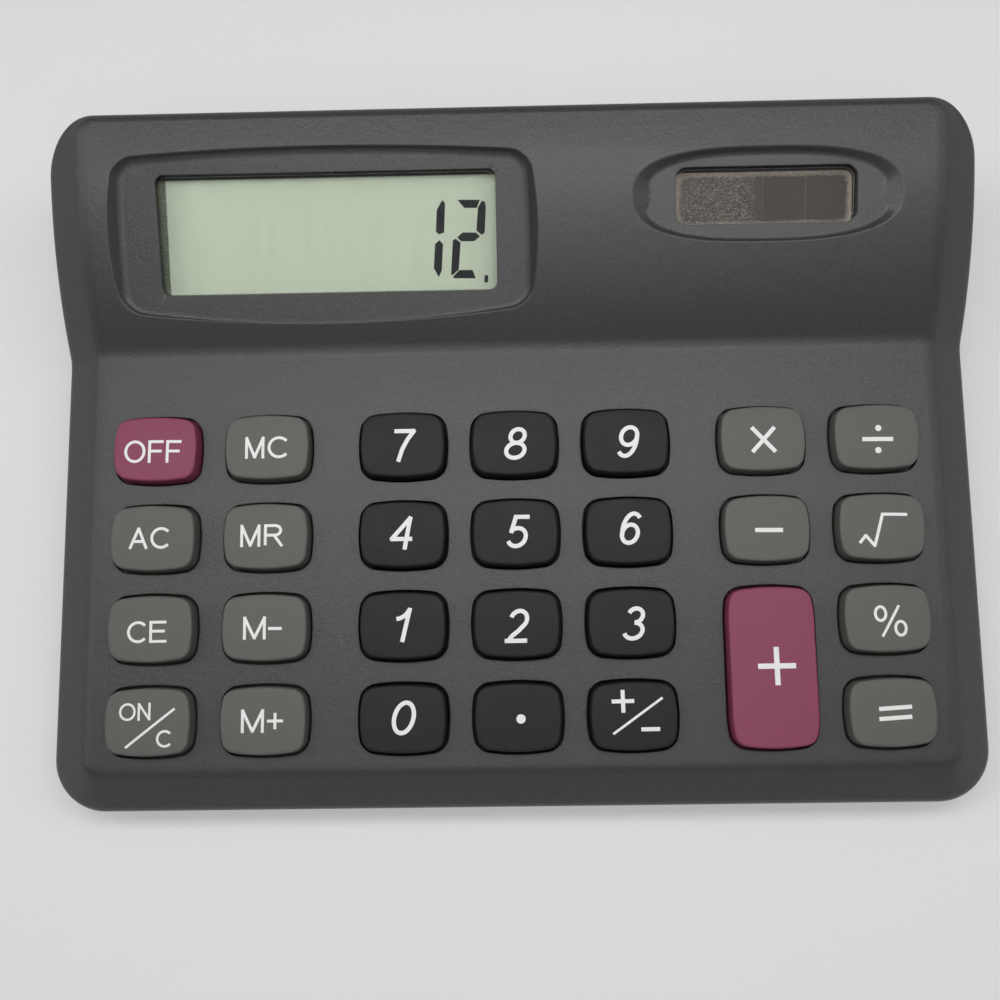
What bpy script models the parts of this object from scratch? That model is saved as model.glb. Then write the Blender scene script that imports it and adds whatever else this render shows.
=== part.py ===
# Desktop calculator: a wedge case with 27 keys in front and a raised, curved display head behind.
# Lengths are metres and angles are degrees. In the deck frame x runs to the right, y runs to the
# rear along the key deck from the case's front edge, and z stands out of the deck plane. In the
# base frame z is the height over the table. The origin is under the middle of the whole object.
import math

import bmesh
import bpy
from mathutils import Matrix, Vector

# Fits that every piece shares
fit_gap = 0.0003
cut_overrun = 0.004
hair_gap = 0.0001

# Case, both shells
corner_radius = 0.0085
least_corner_radius = 0.0012
deck_tilt = 4.0
front_room = 0.0019
upper_wall = 0.0018
lower_wall = 0.0018
lip_wall = 0.0008
lip_height = 0.0012
side_band = 0.0013
corner_steps = 5

# Edge between the deck and the side walls, and the rounding of the rear edge
side_bevel_width = 0.0066
front_bevel_width = 0.0062
bevel_drop = 0.0055
rear_rounding = 0.0020
bevel_inset_shares = (1.0, 0.515, 0.136, 0.038, 0.0)
bevel_drop_shares = (0.0, 0.40, 0.745, 0.873, 1.0)
rear_inset_shares = (1.0, 0.617, 0.293, 0.076, 0.0)
rear_drop_shares = (0.0, 0.076, 0.293, 0.617, 1.0)

# Display head: an arc that leaves the deck at an angle, with a small fillet in the crease
head_radius = 0.066
head_rise = 37.3
crease_radius = 0.0040
crease_steps = 3
head_steps = 8

# Keys: gaps between the holes of the columns and rows, and one key's own sizes
side_margin = 0.0170
number_column_gap = 0.0035
group_column_gap = 0.0074
edge_column_gap = 0.0036
row_gap = 0.00297
crease_margin = 0.0165
key_hole_width = 0.0145
key_hole_length = 0.01153
key_power = 3.0
key_points = 16
key_height = 0.0025
key_travel = 0.0012
flange_width = 0.00065
flange_thickness = 0.0008
key_crown_inset = 0.0022
key_inset_shares = (0.07, 0.20, 1.0)
key_height_shares = (0.70, 0.92, 1.0)

# Rubber mat and circuit board under the keys
dome_pressed_height = 0.0004
dome_base_radius = 0.0034
dome_top_radius = 0.0020
dome_wall = 0.0004
dome_points = 8
mat_thickness = 0.0006
sheet_margin = 0.0005
board_thickness = 0.0010
board_rear_margin = 0.0015
chip_radius = 0.0055
chip_height = 0.0012
chip_radius_shares = (0.5, 0.85, 1.0)
chip_depth_shares = (1.0, 0.65, 0.0)
capacitor_radius = 0.0025
capacitor_height = 0.0045
capacitor_edge = 0.0004

# Screws, bosses and feet
screw_radius = 0.0009
screw_head_radius = 0.0018
screw_head_height = 0.0011
screw_edge = 0.00035
screw_reach = 0.0043
board_screw_reach = 0.0028
screw_slot_width = 0.0005
screw_slot_depth = 0.0006
bore_clearance = 0.00015
boss_wall = 0.00085
boss_gap = 0.00034
post_radius = 0.0030
post_seat = 0.0010
round_points = 12
screw_points = 8
rear_screw_side_margin = 0.0080
rear_screw_rear_margin = 0.0085
front_screw_x = 0.0450
middle_screw_x = 0.0120
foot_radius = 0.0050
foot_recess = 0.0009
foot_stand = 0.0012
foot_side_margin = 0.0150
foot_front_margin = 0.0170
foot_rear_margin = 0.0185
foot_points = 16

# Display and solar cell in the head
pocket_power_display = 5.0
pocket_power_solar = 3.5
pocket_points = 28
bezel_thickness = 0.0015
pad_margin = 0.0012
pad_cover = 0.0003
display_side_margin = 0.0112
display_front_margin = 0.0028
display_rear_margin = 0.0056
display_window_width = 0.0545
display_window_length = 0.0186
display_window_radius = 0.0012
display_sink = 0.0020
display_rim_x = 0.00695
display_rim_y = 0.0046
display_pocket_shift_y = -0.0006
display_pocket_flare = 0.0016
display_plug_sink = 0.0006
solar_side_margin = 0.0130
solar_shift_y = 0.0044
solar_window_width = 0.0289
solar_window_length = 0.00895
solar_window_radius = 0.0018
solar_sink = 0.0012
solar_rim_x = 0.0068
solar_rim_y = 0.0026
solar_pocket_shift_y = 0.0
solar_pocket_flare = 0.0012
solar_plug_sink = 0.0009
window_lip = 0.0016
window_plate = 0.0008
display_glass_thickness = 0.0018
solar_cell_thickness = 0.0011
frame_wall = 0.0012
frame_floor = 0.0010
ribbon_width = 0.048
ribbon_thickness = 0.00025
ribbon_across_shares = (0.12, 0.32, 0.60)
ribbon_drop_shares = (0.45, 0.80, 0.97)
window_corner_steps = 3

# Battery well, contacts and sliding door in the lower case
cell_radius = 0.0058
cell_height = 0.0054
cell_cap_radius = 0.0044
cell_cap_height = 0.0007
well_wall = 0.0012
well_side_room = 0.0010
well_top_room = 0.0012
battery_x = 0.0330
battery_from_crease = 0.0177
door_front_cover = 0.0010
door_side_cover = 0.0032
door_tongue = 0.0010
door_plate = 0.0010
door_rail = 0.0008
door_pad_wall = 0.0020
contact_thickness = 0.0003
contact_width = 0.0030
contact_tab = 0.0022
lead_radius = 0.0005
lead_bend = 0.0018
lead_steps = 3

# Sizes and places that follow from the ones above
number_column = key_hole_width + number_column_gap
inner_column = number_column + key_hole_width + group_column_gap
outer_column = inner_column + key_hole_width + edge_column_gap
half_width = outer_column + side_margin
column_places = (-outer_column, -inner_column, -number_column, 0.0, number_column, inner_column, outer_column)
key_reach_x = key_hole_width / 2 + flange_width
key_reach_y = key_hole_length / 2 + flange_width
lip_outer = upper_wall + fit_gap
lip_inner = lip_outer + lip_wall
boss_radius = screw_radius + bore_clearance + boss_wall
front_screw_y = lip_inner + boss_gap + boss_radius
sheet_front = front_screw_y + boss_radius + boss_gap
front_margin = sheet_front + sheet_margin + key_reach_y
row_pitch = key_hole_length + row_gap
deck_length = front_margin + 3 * row_pitch + crease_margin
display_pocket_width = display_window_width + 2 * display_rim_x
display_pocket_length = display_window_length + 2 * display_rim_y
display_from_crease = display_front_margin + display_pocket_length / 2
head_length = display_from_crease + display_pocket_length / 2 + display_rear_margin
case_length = deck_length + head_length
tilt = math.radians(deck_tilt)
rise = math.radians(head_rise)
fillet_reach = crease_radius * math.tan(rise / 2)
crest_y = deck_length + head_radius * math.sin(rise)
row_places = tuple(front_margin + (3 - row) * row_pitch for row in range(4))
dome_height = key_travel + dome_pressed_height
flange_top = -(upper_wall + fit_gap)
flange_bottom = flange_top - flange_thickness
dome_top = flange_bottom - fit_gap
mat_top = dome_top - dome_height
mat_bottom = mat_top - mat_thickness
board_top = mat_bottom - fit_gap
board_bottom = board_top - board_thickness
sheet_half_width = outer_column + key_reach_x + sheet_margin
mat_rear = row_places[0] + key_reach_y + sheet_margin
board_rear = deck_length + board_rear_margin
floor_bottom = foot_stand
floor_top = foot_stand + lower_wall
parting_depth = bevel_drop + side_band
rim_top = -parting_depth + fit_gap / 2
rim_bottom = -parting_depth - fit_gap / 2
post_top = min(rim_bottom, board_bottom - fit_gap / 2)
boss_bottom = post_top + fit_gap
screw_seat = post_top - post_seat
board_boss_places = tuple((side * (inner_column + number_column) / 2, y)
                          for side in (-1, 1)
                          for y in ((row_places[3] + row_places[2]) / 2, (row_places[1] + row_places[0]) / 2))
case_screw_places = (
    (-front_screw_x, front_screw_y),
    (front_screw_x, front_screw_y),
    (-(half_width - rear_screw_side_margin), case_length - rear_screw_rear_margin),
    (half_width - rear_screw_side_margin, case_length - rear_screw_rear_margin),
    (middle_screw_x, board_rear + post_radius + fit_gap))
display_x = display_side_margin + display_pocket_width / 2 - half_width
display_y = deck_length + display_from_crease
solar_pocket_width = solar_window_width + 2 * solar_rim_x
solar_pocket_length = solar_window_length + 2 * solar_rim_y
solar_x = half_width - solar_side_margin - solar_pocket_width / 2
solar_y = display_y + solar_shift_y
battery_y = deck_length + battery_from_crease
well_radius = cell_radius + well_side_room
door_half_width = well_radius + door_side_cover
door_top = floor_bottom + door_plate + door_rail
channel_top = door_top + fit_gap
well_top = channel_top + fit_gap + cell_height + well_top_room
front_height = floor_top + (front_room - rim_bottom) * math.cos(tilt)
deck_to_base = Matrix.Translation((0, 0, front_height)) @ Matrix.Rotation(tilt, 4, 'X')
base_to_deck = deck_to_base.inverted()


def clear_scene():
    for obj in list(bpy.data.objects):
        bpy.data.objects.remove(obj, do_unlink=True)


def linear(value):
    return value / 12.92 if value <= 0.04045 else ((value + 0.055) / 1.055) ** 2.4


def make_material(name, color, roughness, metallic=0.0):
    material = bpy.data.materials.new(name)
    material.use_nodes = True
    shader = material.node_tree.nodes["Principled BSDF"]
    rgb = [linear(channel / 255) for channel in color]
    shader.inputs["Base Color"].default_value = (*rgb, 1.0)
    shader.inputs["Roughness"].default_value = roughness
    shader.inputs["Metallic"].default_value = metallic
    return material


def make_empty(name, matrix):
    empty = bpy.data.objects.new(name, None)
    empty.matrix_world = matrix
    bpy.context.collection.objects.link(empty)
    return empty


def make_object(name, bm, material, parent, matrix=None, round_shape=False):
    bmesh.ops.remove_doubles(bm, verts=bm.verts, dist=hair_gap / 100)
    bmesh.ops.recalc_face_normals(bm, faces=bm.faces)
    mesh = bpy.data.meshes.new(name)
    bm.to_mesh(mesh)
    bm.free()
    if round_shape:
        mesh.shade_smooth()
        mesh.set_sharp_from_angle(angle=math.radians(40))
    obj = bpy.data.objects.new(name, mesh)
    bpy.context.collection.objects.link(obj)
    obj.parent = parent
    obj.matrix_parent_inverse = Matrix.Identity(4)
    if matrix is not None:
        obj.matrix_basis = matrix
    if material is not None:
        mesh.materials.append(material)
    return obj


def make_cutter(name, bm, parent):
    cutter = make_object(name, bm, None, parent)
    cutter.hide_render = True
    cutter.display_type = 'WIRE'
    return cutter


def add_boolean(obj, operand, operation):
    modifier = obj.modifiers.new(operand.name, 'BOOLEAN')
    modifier.object = operand
    modifier.operation = operation
    modifier.solver = 'EXACT'


def add_rings(bm, rings, matrix=None, end_faces=True):
    """Joins rings of equal point count into a closed skin, from the first ring to the last."""
    place = matrix or Matrix.Identity(4)
    rows = [[bm.verts.new(place @ Vector(point)) for point in ring] for ring in rings]
    count = len(rows[0])
    for lower, upper in zip(rows, rows[1:]):
        for i in range(count):
            j = (i + 1) % count
            bm.faces.new((lower[i], lower[j], upper[j], upper[i]))
    if end_faces:
        bm.faces.new(list(reversed(rows[0])))
        bm.faces.new(rows[-1])
    return rows


def add_prism(bm, outline, low, high, matrix=None, high_outline=None):
    top = high_outline or outline
    add_rings(bm, [[(x, y, low) for x, y in outline], [(x, y, high) for x, y in top]], matrix)


def add_turned(bm, profile, points, matrix=None):
    """Turns a list of radius and height pairs, bottom to top, about z."""
    angles = [2 * math.pi * i / points for i in range(points)]
    rings = [[(radius * math.cos(a), radius * math.sin(a), z) for a in angles] for radius, z in profile]
    add_rings(bm, rings, matrix)


def add_box(bm, low, high, matrix=None):
    outline = [(low[0], low[1]), (high[0], low[1]), (high[0], high[1]), (low[0], high[1])]
    add_prism(bm, outline, low[2], high[2], matrix)


def circle(radius, points, x=0.0, y=0.0):
    angles = [2 * math.pi * i / points for i in range(points)]
    return [(x + radius * math.cos(a), y + radius * math.sin(a)) for a in angles]


def squircle(half_x, half_y, power, points, straight=0.0):
    """A barrel outline; straight is half the length of a straight stretch along y."""
    outline = []
    for i in range(points):
        angle = 2 * math.pi * (i + 0.5) / points
        c, s = math.cos(angle), math.sin(angle)
        x = half_x * math.copysign(abs(c) ** (2 / power), c)
        y = half_y * math.copysign(abs(s) ** (2 / power), s)
        outline.append((x, y + math.copysign(straight, s)))
    return outline


def rounded_rectangle(half_x, half_y, radius, steps):
    outline = []
    for corner, (sx, sy) in enumerate(((1, 1), (-1, 1), (-1, -1), (1, -1))):
        for i in range(steps + 1):
            angle = (corner + i / steps) * math.pi / 2
            outline.append((sx * (half_x - radius) + radius * math.cos(angle),
                            sy * (half_y - radius) + radius * math.sin(angle)))
    return outline


def add_strip(bm, path, reach, thickness, matrix=None):
    """A bent strip: path runs in the x and z plane, and reach is half its width, along y."""
    points = [Vector(point) for point in path]
    sides = []
    for i, point in enumerate(points):
        before = points[max(i - 1, 0)]
        after = points[min(i + 1, len(points) - 1)]
        along = (after - before).normalized()
        across = Vector((-along.y, along.x)) * thickness / 2
        sides.append((point + across, point - across))
    rings = [[(a.x, -reach, a.y), (a.x, reach, a.y), (b.x, reach, b.y), (b.x, -reach, b.y)]
             for a, b in sides]
    add_rings(bm, rings, matrix)


def smooth_route(route, steps):
    """Points on a smooth curve through the route's own points."""
    points = [Vector(point) for point in route]
    padded = [2 * points[0] - points[1]] + points + [2 * points[-1] - points[-2]]
    result = []
    for a, b, c, d in zip(padded, padded[1:], padded[2:], padded[3:]):
        for i in range(steps):
            t = i / steps
            result.append(0.5 * (2 * b + (c - a) * t + (2 * a - 5 * b + 4 * c - d) * t ** 2
                                 + (3 * b - 3 * c + d - a) * t ** 3))
    return result + [points[-1]]


def make_lead(name, route, material, parent):
    curve = bpy.data.curves.new(name, 'CURVE')
    curve.dimensions = '3D'
    curve.bevel_depth = lead_radius
    curve.bevel_resolution = 2
    curve.use_fill_caps = True
    points = smooth_route(route, lead_steps)
    spline = curve.splines.new('POLY')
    spline.points.add(len(points) - 1)
    for spline_point, point in zip(spline.points, points):
        spline_point.co = (*point, 1.0)
    curve.materials.append(material)
    obj = bpy.data.objects.new(name, curve)
    bpy.context.collection.objects.link(obj)
    obj.parent = parent
    obj.matrix_parent_inverse = Matrix.Identity(4)
    return obj


def head_arc(y):
    return math.sqrt(head_radius ** 2 - (crest_y - y) ** 2) - head_radius * math.cos(rise)


def surface_height(y):
    """Height of the case's outer surface over the deck plane at a distance from the front edge."""
    start = deck_length - fillet_reach
    if y <= start:
        return 0.0
    if y - start < crease_radius * math.sin(rise):
        return crease_radius - math.sqrt(crease_radius ** 2 - (y - start) ** 2)
    return head_arc(y)


def surface_slope(y):
    return math.asin((crest_y - y) / head_radius)


def side_stations():
    start = deck_length - fillet_reach
    crease = [start + crease_radius * math.sin(rise * i / crease_steps) for i in range(crease_steps + 1)]
    last = case_length - corner_radius
    step = (last - crease[-1]) / head_steps
    return crease + [crease[-1] + step * (i + 1) for i in range(head_steps - 1)]


def plan_outline(side_inset, front_inset, rear_inset, stations=()):
    """Outline of the case seen from above. The third value tells how far a point's edge faces
    the front (-1), the side (0) or the rear (1)."""
    half = half_width - side_inset
    radius = max(corner_radius - side_inset, least_corner_radius)
    rear = case_length - rear_inset
    right = []
    for i in range(corner_steps + 1):
        angle = (i / corner_steps - 1) * math.pi / 2
        right.append((half - radius + radius * math.cos(angle),
                      front_inset + radius + radius * math.sin(angle), math.sin(angle)))
    right += [(half, y, 0.0) for y in stations]
    for i in range(corner_steps + 1):
        angle = i / corner_steps * math.pi / 2
        right.append((half - radius + radius * math.cos(angle),
                      rear - radius + radius * math.sin(angle), math.sin(angle)))
    return right + [(-x, y, facing) for x, y, facing in reversed(right)]


def dropped_ring(insets, drops):
    """A ring that follows the case's surface at given depths below it."""
    side, front, rear = drops
    ring = []
    for x, y, facing in plan_outline(*insets, side_stations()):
        end = rear if facing > 0 else front
        ring.append((x, y, surface_height(y) - side * (1 - facing ** 2) - end * facing ** 2))
    return ring


def level_ring(inset, height, stations=()):
    return [(x, y, height) for x, y, facing in plan_outline(inset, inset, inset, stations)]


def floor_ring(inset, height):
    """A ring of the lower case at a height over the table, in the base frame."""
    ring = []
    for x, y, facing in plan_outline(inset, inset, inset):
        depth = (height - front_height - y * math.sin(tilt)) / math.cos(tilt)
        ring.append(deck_to_base @ Vector((x, y, depth)))
    return ring


def add_cross_caps(bm, rows):
    """Closes the first and last ring with strips from side to side."""
    for row in rows[0], rows[-1]:
        count = len(row)
        for i in range(count // 2 - 1):
            bm.faces.new((row[i], row[i + 1], row[count - 2 - i], row[count - 1 - i]))


def head_frame(x, y):
    """Frame on the head's surface: x to the right, y up the head, z out of it."""
    return Matrix.Translation((x, y, surface_height(y))) @ Matrix.Rotation(surface_slope(y), 4, 'X')


def bevel_slope(width):
    return (bevel_drop * bevel_drop_shares[2]) / (width * (1 - bevel_inset_shares[2]))


def inner_bevel(width):
    """Inset where the bevel's inner side meets the ceiling, and its depth at the side wall."""
    slope = bevel_slope(width)
    thickness = upper_wall * math.sqrt(1 + slope ** 2)
    return width + (thickness - upper_wall) / slope, (width - upper_wall) * slope + thickness


def make_upper_shell(materials, deck):
    side_inset, side_drop = inner_bevel(side_bevel_width)
    front_inset, front_drop = inner_bevel(front_bevel_width)
    rear_inset = upper_wall + rear_rounding / 2
    rings = [dropped_ring((side_inset, front_inset, rear_inset), (upper_wall,) * 3),
             dropped_ring((upper_wall,) * 3, (side_drop, front_drop, upper_wall + rear_rounding / 2)),
             level_ring(upper_wall, rim_top, side_stations()),
             level_ring(0.0, rim_top, side_stations())]
    shares = list(zip(bevel_inset_shares, bevel_drop_shares, rear_inset_shares, rear_drop_shares))
    for inset, drop, rear_inset_share, rear_drop_share in reversed(shares):
        insets = (side_bevel_width * inset, front_bevel_width * inset, rear_rounding * rear_inset_share)
        drops = (bevel_drop * drop, bevel_drop * drop, rear_rounding * rear_drop_share)
        rings.append(dropped_ring(insets, drops))
    bm = bmesh.new()
    rows = add_rings(bm, rings, end_faces=False)
    add_cross_caps(bm, rows)
    return make_object("upper_case", bm, materials["case"], deck, round_shape=True)


def head_openings():
    """The two sunken windows of the head, as frame, sizes and pocket outline powers."""
    return (
        (head_frame(display_x, display_y), display_window_width / 2, display_window_length / 2,
         display_window_radius, display_sink, display_pocket_width / 2, display_pocket_length / 2,
         display_pocket_shift_y, display_pocket_flare, pocket_power_display),
        (head_frame(solar_x, solar_y), solar_window_width / 2, solar_window_length / 2,
         solar_window_radius, solar_sink, solar_pocket_width / 2, solar_pocket_length / 2,
         solar_pocket_shift_y, solar_pocket_flare, pocket_power_solar))


def middle_of_wall(x, y):
    """Height halfway through the upper case's wall."""
    side = max(0.0, abs(x) - (half_width - side_bevel_width)) * bevel_slope(side_bevel_width)
    front = max(0.0, front_bevel_width - y) * bevel_slope(front_bevel_width)
    return surface_height(y) - max(side, front) - upper_wall / 2


def add_boss(bm, x, y, low):
    """A round boss that hangs from the upper case's wall and ends at a height."""
    outline = circle(boss_radius, round_points, x, y)
    add_rings(bm, [[(a, b, low) for a, b in outline], [(a, b, middle_of_wall(a, b)) for a, b in outline]])


def add_upper_case_bosses(upper, deck):
    bm = bmesh.new()
    for x, y in board_boss_places:
        add_boss(bm, x, y, board_top + fit_gap / 2)
    for x, y in case_screw_places:
        add_boss(bm, x, y, boss_bottom)
    add_boolean(upper, make_cutter("upper_case_bosses", bm, deck), 'UNION')
    for frame, _, window_y, _, sink, pocket_x, *_ in head_openings():
        bm = bmesh.new()
        pad_x = pocket_x + pad_margin
        pad_y = window_y + window_lip + frame_wall + 2 * fit_gap
        add_box(bm, (-pad_x, -pad_y, -sink - bezel_thickness), (pad_x, pad_y, -sink + pad_cover), frame)
        add_boolean(upper, make_cutter("window_pad", bm, deck), 'UNION')


def cut_upper_case(upper, deck):
    bm = bmesh.new()
    for x, y, length in key_places().values():
        straight = (length - key_hole_length) / 2
        outline = squircle(key_hole_width / 2, key_hole_length / 2, key_power, key_points, straight)
        outline = [(x + a, y + b) for a, b in outline]
        add_prism(bm, outline, -upper_wall - fit_gap / 2, cut_overrun)
    for x, y in board_boss_places:
        top = board_top + board_screw_reach
        add_prism(bm, circle(screw_radius + bore_clearance, round_points, x, y), board_bottom, top)
    for x, y in case_screw_places:
        top = screw_seat + screw_reach + fit_gap
        add_prism(bm, circle(screw_radius + bore_clearance, round_points, x, y), screw_seat, top)
    add_boolean(upper, make_cutter("key_holes", bm, deck), 'DIFFERENCE')
    for frame, _, _, _, sink, pocket_x, pocket_y, shift_y, flare, power in head_openings():
        bm = bmesh.new()
        low = squircle(pocket_x - flare, pocket_y - flare, power, pocket_points)
        wide = flare * cut_overrun / sink
        high = squircle(pocket_x + wide, pocket_y + wide, power, pocket_points)
        low = [(x, y + shift_y) for x, y in low]
        high = [(x, y + shift_y) for x, y in high]
        add_prism(bm, low, -sink, cut_overrun, frame, high)
        add_boolean(upper, make_cutter("head_pocket", bm, deck), 'DIFFERENCE')
    bm = bmesh.new()
    for frame, window_x, window_y, radius, sink, *_ in head_openings():
        outline = rounded_rectangle(window_x, window_y, radius, window_corner_steps)
        add_prism(bm, outline, -sink - bezel_thickness - cut_overrun, cut_overrun, frame)
    add_boolean(upper, make_cutter("head_windows", bm, deck), 'DIFFERENCE')


def make_lower_case(materials, base):
    ledge_top = rim_bottom - front_room * 0.2
    ledge_bottom = rim_bottom - front_room * 0.8
    rings = [level_ring(0.0, rim_bottom), level_ring(lip_outer, rim_bottom),
             level_ring(lip_outer, rim_bottom + lip_height), level_ring(lip_inner, rim_bottom + lip_height),
             level_ring(lip_inner, ledge_top), level_ring(lower_wall, ledge_bottom)]
    rings = [[deck_to_base @ Vector(point) for point in ring] for ring in rings]
    inner = rings[1:] + [floor_ring(lower_wall, floor_top)]
    edge = lower_wall * 0.8
    outer = [floor_ring(edge, floor_bottom), floor_ring(edge * 0.3, floor_bottom + edge * 0.3),
             floor_ring(0.0, floor_bottom + edge), rings[0]]
    bm = bmesh.new()
    rows = add_rings(bm, outer + inner, end_faces=False)
    add_cross_caps(bm, rows)
    lower = make_object("lower_case", bm, materials["case_base"], base, round_shape=True)
    add_lower_case_posts(lower, base)
    cut_lower_case(lower, base)
    return lower


def battery_point():
    """Middle of the battery well over the table, in the base frame."""
    spot = deck_to_base @ Vector((battery_x, battery_y, 0))
    return spot.x, spot.y


def rear_edge():
    """Rear end of the flat underside, in the base frame."""
    return max(point[1] for point in floor_ring(lower_wall * 0.8, floor_bottom))


def door_front():
    """Front end of the battery door, in the base frame."""
    return battery_point()[1] - well_radius - door_front_cover


def foot_places():
    x = half_width - foot_side_margin
    front = foot_front_margin
    rear = rear_edge() - foot_rear_margin
    return {"foot_front_left": (-x, front), "foot_front_right": (x, front),
            "foot_rear_left": (-x, rear), "foot_rear_right": (x, rear)}


def add_lower_case_posts(lower, base):
    bm = bmesh.new()
    for x, y in case_screw_places:
        depth = (floor_bottom + lower_wall / 2 - front_height - y * math.sin(tilt)) / math.cos(tilt)
        add_prism(bm, circle(post_radius, round_points, x, y), depth, post_top, deck_to_base)
    add_boolean(lower, make_cutter("lower_case_posts", bm, base), 'UNION')
    x, y = battery_point()
    pad_x = door_half_width + door_tongue + fit_gap + door_pad_wall
    pad_front = door_front() - fit_gap - door_pad_wall
    pad_rear = rear_edge() - lower_wall / 2
    bm = bmesh.new()
    add_box(bm, (x - pad_x, pad_front, floor_bottom + lower_wall / 2),
            (x + pad_x, pad_rear, channel_top + well_wall))
    add_boolean(lower, make_cutter("door_pad", bm, base), 'UNION')
    bm = bmesh.new()
    outline = circle(well_radius + well_wall, round_points * 2, x, y)
    add_prism(bm, outline, channel_top + well_wall / 2, well_top + well_wall)
    add_boolean(lower, make_cutter("battery_well", bm, base), 'UNION')


def cut_lower_case(lower, base):
    bm = bmesh.new()
    for x, y in case_screw_places:
        add_prism(bm, circle(screw_head_radius + fit_gap, round_points, x, y),
                  -front_height - case_length * math.sin(tilt), screw_seat, deck_to_base)
    for x, y in foot_places().values():
        add_prism(bm, circle(foot_radius + fit_gap, foot_points, x, y),
                  floor_bottom - cut_overrun, floor_bottom + foot_recess)
    add_door_channel(bm)
    add_boolean(lower, make_cutter("underside_recesses", bm, base), 'DIFFERENCE')
    bm = bmesh.new()
    for x, y in case_screw_places:
        add_prism(bm, circle(screw_radius + bore_clearance, round_points, x, y),
                  screw_seat - fit_gap, post_top + cut_overrun, deck_to_base)
    add_boolean(lower, make_cutter("post_bores", bm, base), 'DIFFERENCE')
    bm = bmesh.new()
    x, y = battery_point()
    add_prism(bm, circle(well_radius, round_points * 2, x, y), channel_top - hair_gap, well_top)
    add_boolean(lower, make_cutter("battery_bore", bm, base), 'DIFFERENCE')
    bm = bmesh.new()
    slot = contact_thickness / 2 + fit_gap
    for contact_x in contact_places():
        add_box(bm, (x + contact_x - slot, y - contact_width / 2 - fit_gap, well_top - hair_gap),
                (x + contact_x + slot, y + contact_width / 2 + fit_gap, well_top + well_wall + cut_overrun))
    add_boolean(lower, make_cutter("contact_slots", bm, base), 'DIFFERENCE')


def door_profile(clearance):
    """Section of the door: a plate with a tongue along each side, as x and z from its middle."""
    wide = door_half_width + clearance
    tongue = wide + door_tongue
    step = floor_bottom + door_plate - clearance
    return [(-wide, floor_bottom), (wide, floor_bottom), (wide, step), (tongue, step),
            (tongue, door_top + clearance), (-tongue, door_top + clearance), (-tongue, step), (-wide, step)]


def add_door_shape(bm, profile, front, rear, x):
    add_rings(bm, [[(x + a, front, b) for a, b in profile], [(x + a, rear, b) for a, b in profile]])


def add_door_channel(bm):
    x, y = battery_point()
    profile = door_profile(fit_gap)
    low = floor_bottom - cut_overrun
    profile = [(a, low if b == floor_bottom else b) for a, b in profile]
    add_door_shape(bm, profile, door_front() - fit_gap, case_length + cut_overrun, x)


def make_door(materials, base):
    x, y = battery_point()
    bm = bmesh.new()
    add_door_shape(bm, door_profile(0.0), door_front(), rear_edge(), 0.0)
    make_object("battery_door", bm, materials["case_base"], base, Matrix.Translation((x, 0, 0)))


def contact_places():
    """Places of the contacts' tabs beside the middle of the well: side contact, top contact."""
    side = cell_radius + (well_side_room - contact_thickness) / 2
    return side, -cell_cap_radius


def make_battery(materials, base):
    x, y = battery_point()
    low = channel_top + fit_gap
    bm = bmesh.new()
    rim = cell_cap_height / 2
    add_turned(bm, [(cell_radius - rim, low), (cell_radius, low + rim),
                    (cell_radius, low + cell_height - cell_cap_height),
                    (cell_cap_radius, low + cell_height - cell_cap_height),
                    (cell_cap_radius, low + cell_height)], foot_points)
    make_object("battery_cell", bm, materials["steel"], base, Matrix.Translation((x, y, 0)), True)
    side, top = contact_places()
    tab_top = well_top + well_wall + contact_tab
    bm = bmesh.new()
    add_strip(bm, [(side, low + rim), (side, tab_top)], contact_width / 2, contact_thickness)
    make_object("battery_contact_positive", bm, materials["steel"], base, Matrix.Translation((x, y, 0)))
    leaf = low + cell_height + fit_gap + contact_thickness / 2
    bm = bmesh.new()
    add_strip(bm, [(-top, leaf), (top, leaf), (top, tab_top)], contact_width / 2, contact_thickness)
    make_object("battery_contact_negative", bm, materials["steel"], base, Matrix.Translation((x, y, 0)))


def make_feet(materials, base):
    for name, (x, y) in foot_places().items():
        edge = foot_recess / 3
        bm = bmesh.new()
        add_turned(bm, [(foot_radius - edge, 0.0), (foot_radius, edge),
                        (foot_radius, floor_bottom + foot_recess - fit_gap)], foot_points)
        make_object(name, bm, materials["foot"], base, Matrix.Translation((x, y, 0)), True)


def add_screw(bm, reach):
    """A screw with its head's seat at z = 0 and its thread going up."""
    add_turned(bm, [(screw_head_radius - screw_edge, -screw_head_height),
                    (screw_head_radius, screw_edge - screw_head_height), (screw_head_radius, 0.0),
                    (screw_radius, 0.0), (screw_radius, reach - screw_radius),
                    (screw_radius / 4, reach)], screw_points)


def make_screws(materials, deck):
    arm, side = screw_head_radius * 0.65, screw_slot_width / 2
    cross = [(side, side), (side, arm), (-side, arm), (-side, side), (-arm, side), (-arm, -side),
             (-side, -side), (-side, -arm), (side, -arm), (side, -side), (arm, -side), (arm, side)]
    names = ("front_left", "front_right", "rear_left", "rear_right", "middle")
    for name, (x, y) in zip(names, case_screw_places):
        place = Matrix.Translation((x, y, screw_seat - fit_gap / 2))
        bm = bmesh.new()
        add_screw(bm, screw_reach)
        screw = make_object("case_screw_" + name, bm, materials["steel"], deck, place, True)
        bm = bmesh.new()
        add_prism(bm, cross, -screw_head_height - cut_overrun, screw_slot_depth - screw_head_height)
        cutter = make_cutter("cross_" + name, bm, deck)
        cutter.matrix_basis = place
        add_boolean(screw, cutter, 'DIFFERENCE')
    names = ("front_left", "rear_left", "front_right", "rear_right")
    for name, (x, y) in zip(names, board_boss_places):
        bm = bmesh.new()
        add_screw(bm, board_screw_reach)
        place = Matrix.Translation((x, y, board_bottom - fit_gap / 2))
        make_object("board_screw_" + name, bm, materials["steel"], deck, place, True)


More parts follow.
